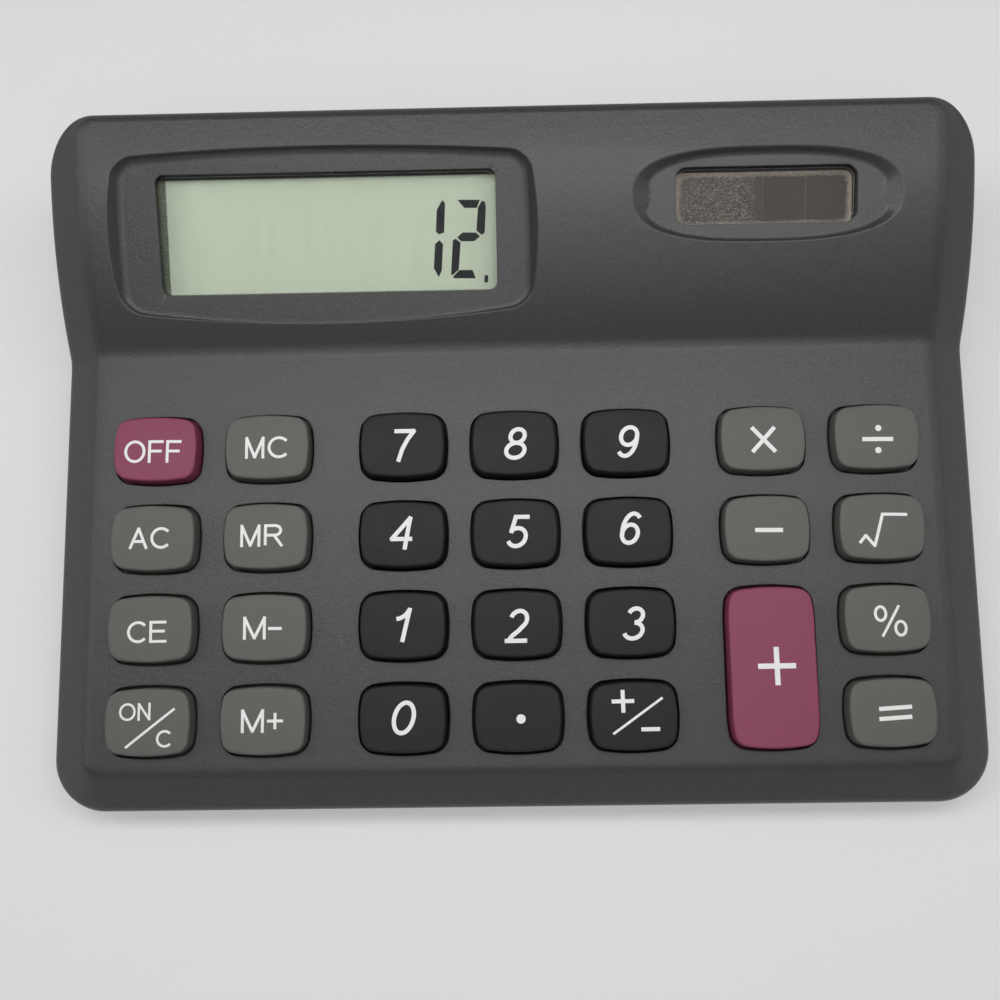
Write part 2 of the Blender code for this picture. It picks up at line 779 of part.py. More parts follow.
key_names = (
    ("key_off", "key_memory_clear", "key_7", "key_8", "key_9", "key_multiply", "key_divide"),
    ("key_all_clear", "key_memory_recall", "key_4", "key_5", "key_6", "key_minus", "key_root"),
    ("key_clear_entry", "key_memory_minus", "key_1", "key_2", "key_3", "key_plus", "key_percent"),
    ("key_on_clear", "key_memory_plus", "key_0", "key_point", "key_sign", None, "key_equals"))
red_keys = ("key_off", "key_plus")


def key_places():
    """Centre and hole length of every key. The plus key fills two rows."""
    places = {}
    for row, names in enumerate(key_names):
        for column, name in enumerate(names):
            if name == "key_plus":
                middle = (row_places[row] + row_places[row + 1]) / 2
                places[name] = (column_places[column], middle, key_hole_length + row_pitch)
            elif name:
                places[name] = (column_places[column], row_places[row], key_hole_length)
    return places


def key_material(name, column):
    if name in red_keys:
        return "key_red"
    return "key_black" if 2 <= column <= 4 else "key_grey"


def make_key(name, x, y, length, material, deck):
    straight = (length - key_hole_length) / 2

    def ring(inset, z):
        half_x, half_y = key_hole_width / 2 - inset, key_hole_length / 2 - inset
        return [(a, b, z) for a, b in squircle(half_x, half_y, key_power, key_points, straight)]

    rings = [ring(-flange_width, flange_bottom), ring(-flange_width, flange_top), ring(fit_gap, flange_top)]
    for inset, height in zip(key_inset_shares, key_height_shares):
        rings.append(ring(fit_gap + key_crown_inset * inset, key_height * height))
    bm = bmesh.new()
    add_rings(bm, rings)
    make_object(name, bm, material, deck, Matrix.Translation((x, y, 0)), True)


def make_keys(materials, deck):
    places = key_places()
    for names in key_names:
        for column, name in enumerate(names):
            if name:
                make_key(name, *places[name], materials[key_material(name, column)], deck)


def make_mat(materials, deck):
    bm = bmesh.new()
    add_box(bm, (-sheet_half_width, sheet_front, mat_bottom), (sheet_half_width, mat_rear, mat_top))
    mat = make_object("keypad_mat", bm, materials["rubber"], deck)
    bm = bmesh.new()
    hollow = bmesh.new()
    for x, y, _ in key_places().values():
        place = Matrix.Translation((x, y, 0))
        add_turned(bm, [(dome_base_radius, mat_top - mat_thickness / 2), (dome_top_radius, dome_top)],
                   dome_points, place)
        add_turned(hollow, [(dome_base_radius - dome_wall, mat_bottom - cut_overrun),
                            (dome_base_radius - dome_wall, mat_bottom + hair_gap),
                            (dome_top_radius - dome_wall, dome_top - 2 * dome_wall)], dome_points, place)
    for x, y in board_boss_places:
        add_prism(hollow, circle(boss_radius + fit_gap, dome_points, x, y),
                  mat_bottom - cut_overrun, mat_top + cut_overrun)
    add_boolean(mat, make_cutter("mat_domes", bm, deck), 'UNION')
    add_boolean(mat, make_cutter("mat_hollows", hollow, deck), 'DIFFERENCE')


def make_board(materials, deck):
    bm = bmesh.new()
    add_box(bm, (-sheet_half_width, sheet_front, board_bottom), (sheet_half_width, board_rear, board_top))
    board = make_object("main_board", bm, materials["board"], deck)
    bm = bmesh.new()
    for x, y in board_boss_places:
        add_prism(bm, circle(screw_radius + fit_gap, round_points, x, y),
                  board_bottom - cut_overrun, board_top + cut_overrun)
    add_boolean(board, make_cutter("board_holes", bm, deck), 'DIFFERENCE')
    bm = bmesh.new()
    add_turned(bm, [(chip_radius * a, -fit_gap - chip_height * b)
                    for a, b in zip(chip_radius_shares, chip_depth_shares)], round_points)
    place = Matrix.Translation((0, (row_places[1] + row_places[2]) / 2, board_bottom))
    make_object("chip_cover", bm, materials["epoxy"], deck, place, True)
    bm = bmesh.new()
    add_turned(bm, [(capacitor_radius - capacitor_edge, -fit_gap - capacitor_height),
                    (capacitor_radius, -fit_gap - capacitor_height + capacitor_edge),
                    (capacitor_radius, -fit_gap)], round_points)
    place = Matrix.Translation((inner_column, mat_rear, board_bottom))
    make_object("capacitor", bm, materials["capacitor"], deck, place, True)


def window_rings(half_x, half_y, radius, sink, plug_sink):
    plate_top = -sink - bezel_thickness - fit_gap
    lip_x, lip_y = half_x + window_lip, half_y + window_lip

    def ring(x, y, z):
        return [(a, b, z) for a, b in rounded_rectangle(x, y, radius, window_corner_steps)]

    return [ring(lip_x, lip_y, plate_top - window_plate), ring(lip_x, lip_y, plate_top),
            ring(half_x - fit_gap, half_y - fit_gap, plate_top),
            ring(half_x - fit_gap, half_y - fit_gap, -sink - plug_sink)]


def make_display(materials, deck):
    frame = head_frame(display_x, display_y)
    half_x, half_y = display_window_width / 2, display_window_length / 2
    bm = bmesh.new()
    add_rings(bm, window_rings(half_x, half_y, display_window_radius, display_sink, display_plug_sink))
    make_object("display_window", bm, materials["clear"], deck, frame)
    top = -display_sink - bezel_thickness - fit_gap
    glass_x, glass_y = half_x + window_lip, half_y + window_lip
    glass_top = top - window_plate - fit_gap
    glass_bottom = glass_top - display_glass_thickness
    bm = bmesh.new()
    add_box(bm, (-glass_x, -glass_y, glass_bottom), (glass_x, glass_y, glass_top))
    make_object("display_glass", bm, materials["liquid_crystal"], deck, frame)
    frame_x, frame_y = glass_x + fit_gap + frame_wall, glass_y + fit_gap + frame_wall
    bm = bmesh.new()
    add_box(bm, (-frame_x, -glass_y, glass_bottom - fit_gap - frame_floor), (frame_x, frame_y, top))
    tray = make_object("display_frame", bm, materials["frame"], deck, frame)
    bm = bmesh.new()
    add_box(bm, (-glass_x - fit_gap, -glass_y - cut_overrun, glass_bottom - fit_gap),
            (glass_x + fit_gap, glass_y + fit_gap, top + cut_overrun))
    cutter = make_cutter("display_tray", bm, deck)
    cutter.matrix_basis = frame
    add_boolean(tray, cutter, 'DIFFERENCE')
    ribbon_y = -glass_y - fit_gap - ribbon_thickness
    ribbon_top = frame @ Vector((0, ribbon_y, glass_top))
    make_ribbon(materials, deck, ribbon_top, frame @ Vector((0, ribbon_y, glass_bottom)))


def make_ribbon(materials, deck, top, start):
    """Flat cable from the display glass down to the rear edge of the main board."""
    end_y = deck_length - board_rear_margin
    level = board_top + fit_gap
    drop = start.z - level
    across = start.y - end_y
    path = [(top.y, top.z), (start.y, start.z)]
    for across_share, drop_share in zip(ribbon_across_shares, ribbon_drop_shares):
        path.append((start.y - across * across_share, start.z - drop * drop_share))
    path.append((end_y, level))
    turn = Matrix(((0, 1, 0, display_x), (1, 0, 0, 0), (0, 0, 1, 0), (0, 0, 0, 1)))
    bm = bmesh.new()
    add_strip(bm, path, ribbon_width / 2, ribbon_thickness, turn)
    make_object("display_ribbon", bm, materials["ribbon"], deck)


def solar_back():
    return -solar_sink - bezel_thickness - window_plate - 2 * fit_gap - solar_cell_thickness


def make_solar(materials, deck):
    frame = head_frame(solar_x, solar_y)
    half_x, half_y = solar_window_width / 2, solar_window_length / 2
    bm = bmesh.new()
    add_rings(bm, window_rings(half_x, half_y, solar_window_radius, solar_sink, solar_plug_sink))
    make_object("solar_window", bm, materials["clear"], deck, frame)
    cell_x, cell_y = half_x + window_lip, half_y + window_lip
    bm = bmesh.new()
    add_box(bm, (-cell_x, -cell_y, solar_back()), (cell_x, cell_y, solar_back() + solar_cell_thickness))
    make_object("solar_cell", bm, materials["silicon"], deck, frame)


def make_leads(materials, deck):
    frame = head_frame(solar_x, solar_y)
    level = board_top + lead_radius + fit_gap
    pad_y = deck_length - board_rear_margin
    for name, side in (("solar_lead_positive", 1), ("solar_lead_negative", -1)):
        start = frame @ Vector((side * solar_window_width / 3, 0, solar_back() - fit_gap - lead_radius))
        end = Vector((start.x - side * solar_window_width / 8, pad_y, level))
        route = [start, start.lerp(end, 1 / 3) - Vector((0, 0, lead_bend)),
                 Vector((end.x, board_rear + lead_bend, level + lead_bend)), end]
        make_lead(name, route, materials[name], deck)
    x, y = battery_point()
    tab_top = well_top + well_wall + contact_tab + lead_radius + fit_gap
    names = ("battery_lead_positive", "battery_lead_negative")
    for name, offset, side in zip(names, contact_places(), (1, -1)):
        start = base_to_deck @ Vector((x + offset, y, tab_top))
        end = Vector((start.x + side * lead_bend, pad_y, level))
        route = [start, start.lerp(end, 0.4) + Vector((0, 0, lead_bend)),
                 Vector((end.x, board_rear + lead_bend, level + lead_bend / 2)), end]
        make_lead(name, route, materials[name], deck)


def make_materials():
    return {
        "case": make_material("charcoal_plastic", (94, 96, 94), 0.55),
        "case_base": make_material("charcoal_plastic_base", (72, 73, 72), 0.6),
        "key_grey": make_material("grey_key_plastic", (112, 114, 109), 0.5),
        "key_black": make_material("black_key_plastic", (60, 62, 61), 0.45),
        "key_red": make_material("burgundy_key_plastic", (140, 84, 104), 0.45),
        "rubber": make_material("mat_rubber", (196, 194, 186), 0.85),
        "foot": make_material("foot_rubber", (38, 38, 38), 0.9),
        "board": make_material("board_laminate", (70, 98, 60), 0.5),
        "epoxy": make_material("chip_epoxy", (22, 22, 22), 0.4),
        "capacitor": make_material("capacitor_sleeve", (34, 44, 74), 0.4),
        "clear": make_material("clear_plastic", (214, 216, 212), 0.08),
        "liquid_crystal": make_material("display_glass", (184, 197, 178), 0.25),
        "frame": make_material("frame_plastic", (40, 41, 40), 0.6),
        "ribbon": make_material("ribbon_film", (176, 138, 74), 0.45),
        "silicon": make_material("solar_cell", (66, 52, 46), 0.3),
        "steel": make_material("plated_steel", (176, 176, 172), 0.3, 1.0),
        "solar_lead_positive": make_material("red_lead", (170, 40, 36), 0.5),
        "solar_lead_negative": make_material("blue_lead", (44, 60, 130), 0.5),
        "battery_lead_positive": make_material("orange_lead", (196, 104, 40), 0.5),
        "battery_lead_negative": make_material("black_lead", (30, 30, 30), 0.5)}


def footprint_middle():
    """Halfway between the frontmost and the rearmost point over the table, along y."""
    front = min((deck_to_base @ Vector(point)).y for point in dropped_ring((0.0,) * 3, (bevel_drop,) * 3))
    rear = max(point.y for point in floor_ring(0.0, floor_bottom + lower_wall * 0.8))
    return (front + rear) / 2


def main():
    clear_scene()
    materials = make_materials()
    base = make_empty("base_frame", Matrix.Translation((0, -footprint_middle(), 0)))
    deck = make_empty("deck_frame", Matrix.Translation((0, -footprint_middle(), 0)) @ deck_to_base)
    upper = make_upper_shell(materials, deck)
    add_upper_case_bosses(upper, deck)
    cut_upper_case(upper, deck)
    make_lower_case(materials, base)
    make_door(materials, base)
    make_battery(materials, base)
    make_feet(materials, base)
    make_screws(materials, deck)
    make_keys(materials, deck)
    make_mat(materials, deck)
    make_board(materials, deck)
    make_display(materials, deck)
    make_solar(materials, deck)
    make_leads(materials, deck)


main()
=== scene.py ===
# Looks of the desktop calculator: fine shells, keys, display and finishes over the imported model.
from math import asin, ceil, copysign, cos, dist, hypot, pi, radians, sin, sqrt, tan
import bmesh
import bpy
from mathutils import Matrix, Vector
from mathutils.geometry import delaunay_2d_cdt


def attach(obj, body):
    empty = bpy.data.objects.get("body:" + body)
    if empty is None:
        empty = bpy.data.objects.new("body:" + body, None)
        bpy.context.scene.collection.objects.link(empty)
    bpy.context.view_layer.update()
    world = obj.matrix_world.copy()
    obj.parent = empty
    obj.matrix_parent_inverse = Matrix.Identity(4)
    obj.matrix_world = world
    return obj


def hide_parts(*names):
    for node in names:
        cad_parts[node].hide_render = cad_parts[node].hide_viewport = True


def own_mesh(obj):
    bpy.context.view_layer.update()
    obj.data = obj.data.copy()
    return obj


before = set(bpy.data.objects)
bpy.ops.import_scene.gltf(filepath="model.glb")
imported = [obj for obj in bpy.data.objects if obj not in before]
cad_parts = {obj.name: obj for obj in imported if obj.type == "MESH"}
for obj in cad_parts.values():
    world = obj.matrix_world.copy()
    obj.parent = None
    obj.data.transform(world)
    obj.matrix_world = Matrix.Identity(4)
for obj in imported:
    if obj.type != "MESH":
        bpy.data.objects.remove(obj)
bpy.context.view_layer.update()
print("frame loaded:", len(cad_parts), "nodes")

# Lengths are millimetres. On the deck, x runs to the right, y to the rear and z out of the deck.
mm = 0.001
case = {
    "halfWidth": 75, "length": 110.495, "deckLength": 74.295, "cornerRadius": 8.5, "leastCorner": 1.2,
    "tilt": 4, "frontHeight": 11.8284, "middle": 55.8955, "wall": 1.8,
    "sideBevel": 6.6, "frontBevel": 6.2, "bevelDrop": 5.5, "rearRound": 2, "edgeSoft": 1.3,
    "kneeInset": 0.136, "kneeDrop": 0.745, "kneeEnd": 0.862,
    "headRadius": 66, "headRise": 37.3, "creaseRadius": 4,
    "upperRim": -6.65, "lowerRim": -6.95, "cornerSteps": 14, "creaseSteps": 8, "headSteps": 22,
    "deckStations": [18, 36, 54, 66],
}
deckSpace = (Matrix.Translation((0, -case["middle"] * mm, case["frontHeight"] * mm))
             @ Matrix.Rotation(radians(case["tilt"]), 4, 'X') @ Matrix.Scale(mm, 4))
tableSpace = Matrix.Translation((0, -case["middle"] * mm, 0)) @ Matrix.Scale(mm, 4)
deckToTable = (deckSpace.inverted() @ tableSpace).inverted()
rise = radians(case["headRise"])
crestY = case["deckLength"] + case["headRadius"] * sin(rise)
creaseStart = case["deckLength"] - case["creaseRadius"] * tan(rise / 2)
creaseEnd = creaseStart + case["creaseRadius"] * sin(rise)


def surfaceHeight(y):
    if y <= creaseStart:
        return 0
    if y < creaseEnd:
        return case["creaseRadius"] - sqrt(case["creaseRadius"] ** 2 - (y - creaseStart) ** 2)
    return sqrt(case["headRadius"] ** 2 - (crestY - y) ** 2) - case["headRadius"] * cos(rise)


def pocketSpace(pocket):  # stands on the head's surface: x right, y up the head, z out of it
    x, y = pocket["x"], pocket["y"]
    slope = asin((crestY - y) / case["headRadius"])
    return Matrix.Translation((x, y, surfaceHeight(y))) @ Matrix.Rotation(slope, 4, 'X')


# Small helpers for meshes
def bezier(a, b, c, steps):
    return [tuple((1 - t) ** 2 * p + 2 * (1 - t) * t * q + t ** 2 * r for p, q, r in zip(a, b, c))
            for t in (i / steps for i in range(steps + 1))]


def between(a, b, t):
    return tuple(p + (q - p) * t for p, q in zip(a, b))


def atHeight(loop, z):
    return [(p[0], p[1], z) for p in loop]


def addRings(bm, rings, place=None, joined=False):  # joined: the last ring meets the first again
    place = place or Matrix.Identity(4)
    rows = [[bm.verts.new(place @ Vector(p)) for p in ring] for ring in rings]
    count = len(rows[0])
    for low, high in zip(rows, rows[1:] + (rows[:1] if joined else [])):
        for i in range(count):
            j = (i + 1) % count
            bm.faces.new((low[i], low[j], high[j], high[i]))
    return rows


def addSolid(bm, rings, place=None):  # rings with a lid at both ends
    rows = addRings(bm, rings, place)
    bm.faces.new(list(reversed(rows[0])))
    bm.faces.new(rows[-1])


def addPrism(bm, outline, low, high, place=None):
    addSolid(bm, [atHeight(outline, low), atHeight(outline, high)], place)


def addTurned(bm, section, points, x=0, y=0):
    addSolid(bm, [atHeight(circle(radius, points, x, y), z) for radius, z in section])


def quarter(radius, steps):  # inset and drop along a rounded edge
    angles = [i / steps * pi / 2 for i in range(steps + 1)]
    return [(radius * (1 - sin(a)), radius * (1 - cos(a))) for a in angles]


def finishFaces(bm, first, slot):  # gives the new faces their material slot, and turns them outwards
    bm.faces.ensure_lookup_table()
    made = bm.faces[first:]
    for face in made:
        face.material_index = slot
    bmesh.ops.recalc_face_normals(bm, faces=made)


def isInside(x, y, loop, low, high):
    if not (low[0] < x < high[0] and low[1] < y < high[1]):
        return False
    beyond = [x < (bx - ax) * (y - ay) / (by - ay) + ax
              for (ax, ay), (bx, by) in zip(loop, loop[1:] + loop[:1]) if (ay > y) != (by > y)]
    return sum(beyond) % 2 == 1


def addPlate(bm, outer, holes, extra, lift, flip=False):  # a flat region with holes, lifted onto a surface
    points, edges, areas = [], [], []
    for loop in [outer] + holes:
        loop = [tuple(p[:2]) for p in loop]
        start, count = len(points), len(loop)
        points += [Vector(p) for p in loop]
        edges += [(start + i, start + (i + 1) % count) for i in range(count)]
        areas.append((loop, [min(c) for c in zip(*loop)], [max(c) for c in zip(*loop)]))
    points += [Vector(p) for p in extra]
    verts, _, faces, _, _, _ = delaunay_2d_cdt(points, edges, [], 0, 1e-5)
    made = {}
    for face in faces:
        x = sum(verts[i].x for i in face) / len(face)
        y = sum(verts[i].y for i in face) / len(face)
        if not isInside(x, y, *areas[0]) or any(isInside(x, y, *area) for area in areas[1:]):
            continue
        a, b, c = (verts[i] for i in face[:3])
        order = list(face)
        if ((b - a).cross(c - a) > 0) == flip:
            order.reverse()
        for i in order:
            if i not in made:
                made[i] = bm.verts.new(lift(verts[i].x, verts[i].y))
        bm.faces.new([made[i] for i in order])


def makePiece(name, bm, materials, place=None, sharp=40, weighted=True, keepFrame=False):
    bmesh.ops.remove_doubles(bm, verts=bm.verts, dist=0.0008)
    mesh = bpy.data.meshes.new(name)
    bm.to_mesh(mesh)
    bm.free()
    if place is not None and not keepFrame:
        mesh.transform(place)
    mesh.shade_smooth()
    mesh.set_sharp_from_angle(angle=radians(sharp))
    for item in materials if isinstance(materials, list) else [materials]:
        mesh.materials.append(item)
    obj = bpy.data.objects.new(name, mesh)
    bpy.context.scene.collection.objects.link(obj)
    if keepFrame:
        obj.matrix_world = place
    if weighted:
        modifier = obj.modifiers.new("weighted", 'WEIGHTED_NORMAL')
        modifier.mode = 'FACE_AREA'
        modifier.weight = 60
        modifier.keep_sharp = True
    return obj


def squircle(halfX, halfY, power, points):
    loop = []
    for i in range(points):
        angle = 2 * pi * (i + 0.5) / points
        c, s = cos(angle) * halfX, sin(angle) * halfY
        reach = ((abs(c) / halfX) ** power + (abs(s) / halfY) ** power) ** (-1 / power)
        loop.append((reach * c, reach * s))
    return loop


def roundedRectangle(halfX, halfY, radius, steps):
    loop = []
    for corner, (sx, sy) in enumerate(((1, 1), (-1, 1), (-1, -1), (1, -1))):
        for i in range(steps + 1):
            angle = (corner + i / steps) * pi / 2
            loop.append((sx * (halfX - radius) + radius * cos(angle),
                         sy * (halfY - radius) + radius * sin(angle)))
    return loop


def circle(radius, points, x=0, y=0):
    return [(x + radius * cos(2 * pi * i / points), y + radius * sin(2 * pi * i / points))
            for i in range(points)]


# Shader groups that several finishes share
def newGroup(name, inputs, outputs):
    group = bpy.data.node_groups.new(name, 'ShaderNodeTree')
    for title, value in inputs:
        socket = group.interface.new_socket(title, in_out='INPUT', socket_type='NodeSocketFloat')
        socket.default_value = value
    for title in outputs:
        group.interface.new_socket(title, in_out='OUTPUT', socket_type='NodeSocketFloat')
    return group, group.nodes.new('NodeGroupInput'), group.nodes.new('NodeGroupOutput')


def feed(tree, value, node, title):  # sets a node's input to a value, or links it to another node's output
    if isinstance(value, (int, float, list, tuple)):
        node.inputs[title].default_value = value
    else:
        tree.links.new(value, node.inputs[title])


def addMath(tree, operation, a, b=0, c=0):
    node = tree.nodes.new('ShaderNodeMath')
    node.operation = operation
    for i, value in enumerate((a, b, c)):
        feed(tree, value, node, i)
    return node.outputs[0]


def addSwing(tree, value, reach):  # turns noise around a half into noise around nought
    return addMath(tree, 'MULTIPLY', addMath(tree, 'SUBTRACT', value, 0.5), reach)


def addNoise(tree, scale, detail=2, roughness=0.5, stretch=None):
    noise = tree.nodes.new('ShaderNodeTexNoise')
    vector = tree.nodes.new('ShaderNodeTexCoord').outputs['Object']
    if stretch:
        mapping = tree.nodes.new('ShaderNodeMapping')
        feed(tree, vector, mapping, 'Vector')
        feed(tree, stretch, mapping, 'Scale')
        vector = mapping.outputs['Vector']
    for title, value in (('Vector', vector), ('Scale', scale), ('Detail', detail), ('Roughness', roughness)):
        feed(tree, value, noise, title)
    return noise.outputs['Fac']


def makeGrainGroup():  # the mould's eroded grain: a height, and a speckle that sits in it
    group, entry, leave = newGroup("mouldGrain", [("Pitch", 3200), ("Speckle", 1)], ["Height", "Speckle"])
    fine = addNoise(group, entry.outputs['Pitch'], 3, 0.62)
    coarse = addNoise(group, addMath(group, 'MULTIPLY', entry.outputs['Pitch'], 0.31))
    height = addMath(group, 'MULTIPLY_ADD', coarse, 0.45, addMath(group, 'MULTIPLY', fine, 0.55))
    feed(group, height, leave, 'Height')
    speckle = addSwing(group, fine, entry.outputs['Speckle'])
    feed(group, addMath(group, 'ADD', speckle, 0.5), leave, 'Speckle')
    return group


def makeHandlingGroup():  # slow blotches left by hands, and small scuffs
    group, entry, leave = newGroup("handling", [("Size", 45), ("Amount", 0.5)], ["Blotch", "Scuff"])
    slow = addNoise(group, entry.outputs['Size'], 3, 0.55)
    feed(group, addSwing(group, slow, entry.outputs['Amount']), leave, 'Blotch')
    spots = addNoise(group, addMath(group, 'MULTIPLY', entry.outputs['Size'], 14), 4, 0.7)
    over = addMath(group, 'MAXIMUM', addMath(group, 'SUBTRACT', spots, 0.64), 0)
    feed(group, addMath(group, 'MULTIPLY', over, 4), leave, 'Scuff')
    return group


grainGroup = makeGrainGroup()
handlingGroup = makeHandlingGroup()


def linear(value):
    value /= 255
    return value / 12.92 if value <= 0.04045 else ((value + 0.055) / 1.055) ** 2.4


def shade(color, factor=1):
    return [min(1, linear(c) * factor) for c in color] + [1]


def placeGroup(tree, group, **values):
    node = tree.nodes.new('ShaderNodeGroup')
    node.node_tree = group
    for title, value in values.items():
        node.inputs[title].default_value = value
    return node


def addMix(tree, factor, a, b):
    node = tree.nodes.new('ShaderNodeMix')
    node.data_type = 'RGBA'
    for i, value in ((0, factor), (6, a), (7, b)):  # the places of the colour sockets
        feed(tree, value, node, i)
    return node.outputs[2]


def addTint(tree, factor, color, low, high):  # a colour that goes from a darker to a lighter shade
    return addMix(tree, factor, shade(color, low), shade(color, high))


def addRange(tree, value, low, high):  # 0 at the low value, 1 at the high one
    node = tree.nodes.new('ShaderNodeMapRange')
    for title, number in (('Value', value), ('From Min', low), ('From Max', high)):
        feed(tree, number, node, title)
    return node.outputs['Result']


def addAxes(tree):
    split = tree.nodes.new('ShaderNodeSeparateXYZ')
    feed(tree, tree.nodes.new('ShaderNodeTexCoord').outputs['Object'], split, 'Vector')
    return split.outputs


def newFinish(name, look):
    material = bpy.data.materials.new(name)
    material.use_nodes = True
    tree = material.node_tree
    shader = tree.nodes['Principled BSDF']
    shader.inputs['Base Color'].default_value = shade(look["color"])
    shader.inputs['Roughness'].default_value = look["roughness"]
    shader.inputs['Metallic'].default_value = look.get("metallic", 0)
    shader.inputs['Specular IOR Level'].default_value = look.get("specular", 0.5)
    return material, tree, shader


def mixShaders(tree, factor, first, second):
    mix = tree.nodes.new('ShaderNodeMixShader')
    for i, value in enumerate((factor, first, second)):
        feed(tree, value, mix, i)
    feed(tree, mix.outputs['Shader'], tree.nodes['Material Output'], 'Surface')


def addBump(tree, shader, height, strength, distance):
    bump = tree.nodes.new('ShaderNodeBump')
    for title, value in (('Strength', strength), ('Distance', distance), ('Height', height)):
        feed(tree, value, bump, title)
    feed(tree, bump.outputs['Normal'], shader, 'Normal')


def mouldedFinish(name, look):  # grained plastic or rubber
    material, tree, shader = newFinish(name, look)
    grain = placeGroup(tree, grainGroup, Pitch=look["pitch"], Speckle=look["speckle"])
    hand = placeGroup(tree, handlingGroup, Size=look["blotchSize"], Amount=look["blotch"])
    tone = addMath(tree, 'ADD', grain.outputs['Speckle'], hand.outputs['Blotch'])
    color = addTint(tree, tone, look["color"], 1 - look["spread"], 1 + look["spread"])
    feed(tree, color, shader, 'Base Color')
    wear = addMath(tree, 'MULTIPLY_ADD', hand.outputs['Scuff'], look["scuff"], look["roughness"])
    rough = addMath(tree, 'MULTIPLY_ADD', hand.outputs['Blotch'], look["roughSpread"], wear)
    feed(tree, rough, shader, 'Roughness')
    addBump(tree, shader, grain.outputs['Height'], look["bump"], look["depth"] * mm)
    return material


plasticValues = ("color", "roughness", "specular", "pitch", "speckle", "spread", "blotchSize", "blotch",
                 "roughSpread", "scuff", "bump", "depth")
plastics = {
    "casePlastic": ((47, 49, 47), 0.41, 0.72, 2600, 3, 0.3, 40, 0.25, 0.2, 0.05, 1, 0.1),
    "basePlastic": ((56, 57, 56), 0.5, 0.5, 2600, 1.2, 0.22, 40, 0.3, 0.2, 0.1, 0.6, 0.07),
    "greyKey": ((95, 97, 92), 0.54, 0.5, 1500, 0.5, 0.14, 300, 0.6, 0.35, 0.1, 0.25, 0.04),
    "blackKey": ((25, 26, 26), 0.54, 0.35, 1500, 0.5, 0.16, 300, 0.6, 0.35, 0.1, 0.25, 0.04),
    "burgundyKey": ((142, 62, 91), 0.54, 0.5, 1500, 0.5, 0.14, 300, 0.6, 0.35, 0.1, 0.25, 0.04),
    "legendInk": ((250, 250, 248), 0.55, 0.5, 5200, 0.6, 0.05, 400, 0.3, 0.1, 0, 0.2, 0.01),
    "figureInk": ((8, 12, 22), 0.35, 0.5, 1.2, 0.5, 0.3, 0.3, 0.5, 0.1, 0, 0.1, 1),  # for a mesh in mm
    "footRubber": ((40, 40, 40), 0.85, 0.5, 1800, 1, 0.25, 150, 0.5, 0.1, 0, 0.5, 0.08),
    "matRubber": ((78, 79, 78), 0.8, 0.5, 1800, 0.6, 0.08, 90, 0.5, 0.1, 0, 0.3, 0.04),
    "framePlastic": ((40, 41, 40), 0.6, 0.5, 2600, 1, 0.2, 60, 0.3, 0.1, 0, 0.4, 0.05),
    "chipEpoxy": ((22, 22, 22), 0.4, 0.5, 900, 0.6, 0.3, 200, 0.6, 0.3, 0, 0.3, 0.05),
    "boardLaminate": ((70, 98, 60), 0.45, 0.5, 2200, 0.8, 0.12, 200, 0.8, 0.2, 0, 0.3, 0.03),
    "capacitorSleeve": ((34, 44, 74), 0.35, 0.5, 1600, 0.4, 0.15, 300, 0.4, 0.2, 0, 0.2, 0.02),
    "ribbonFilm": ((176, 138, 74), 0.42, 0.5, 2600, 0.5, 0.12, 200, 0.5, 0.2, 0, 0.2, 0.01),
    "redLead": ((170, 40, 36), 0.5, 0.5, 3000, 0.5, 0.12, 300, 0.4, 0.1, 0, 0.2, 0.01),
    "blueLead": ((44, 60, 130), 0.5, 0.5, 3000, 0.5, 0.12, 300, 0.4, 0.1, 0, 0.2, 0.01),
    "orangeLead": ((196, 104, 40), 0.5, 0.5, 3000, 0.5, 0.12, 300, 0.4, 0.1, 0, 0.2, 0.01),
    "blackLead": ((30, 30, 30), 0.5, 0.5, 3000, 0.5, 0.2, 300, 0.4, 0.1, 0, 0.2, 0.01),
}
finishes = {name: mouldedFinish(name, dict(zip(plasticValues, row))) for name, row in plastics.items()}
print("finishes made:", len(finishes))


def makePlatedSteel():
    look = {"color": (178, 178, 174), "roughness": 0.26, "metallic": 1}
    material, tree, shader = newFinish("platedSteel", look)
    hand = placeGroup(tree, handlingGroup, Size=260, Amount=0.8)
    brushed = addNoise(tree, 1400, stretch=(0.12, 1, 1))
    rough = addMath(tree, 'MULTIPLY_ADD', brushed, 0.18, look["roughness"] - 0.06)
    feed(tree, rough, shader, 'Roughness')
    tone = addMath(tree, 'ADD', hand.outputs['Blotch'], 0.5)
    feed(tree, addTint(tree, tone, look["color"], 0.8, 1.1), shader, 'Base Color')
    addBump(tree, shader, brushed, 0.2, 0.01 * mm)
    return material


finishes["platedSteel"] = makePlatedSteel()

# Upper case: a closed shell with a softened bevel, 27 key holes and two sunken pockets in the head
keyForm = {
    "halfX": 6.6, "halfY": 5.115, "corner": 1.85, "bows": (0.65, 0.6, 0.65), "gap": 0.3, "rim": 0.1,
    "rowPitch": 14.5, "firstRow": 14.295, "columns": (-58, -39.9, -18, 0, 18, 39.9, 58),
    "flange": 0.65, "flangeTop": -2.1, "flangeLow": -2.9, "draft": 0.2, "shoulder": 0.34,
    "shoulderDrop": 0.36, "height": 2.5, "crownDrop": 0.16, "least": 0.3,
    "foot": (0.8, 0.5), "crownScales": (0.93, 0.8, 0.6, 0.35),
}
keyNames = (
    ("off", "memory_clear", "7", "8", "9", "multiply", "divide"),
    ("all_clear", "memory_recall", "4", "5", "6", "minus", "root"),
    ("clear_entry", "memory_minus", "1", "2", "3", "plus", "percent"),
    ("on_clear", "memory_plus", "0", "point", "sign", None, "equals"))

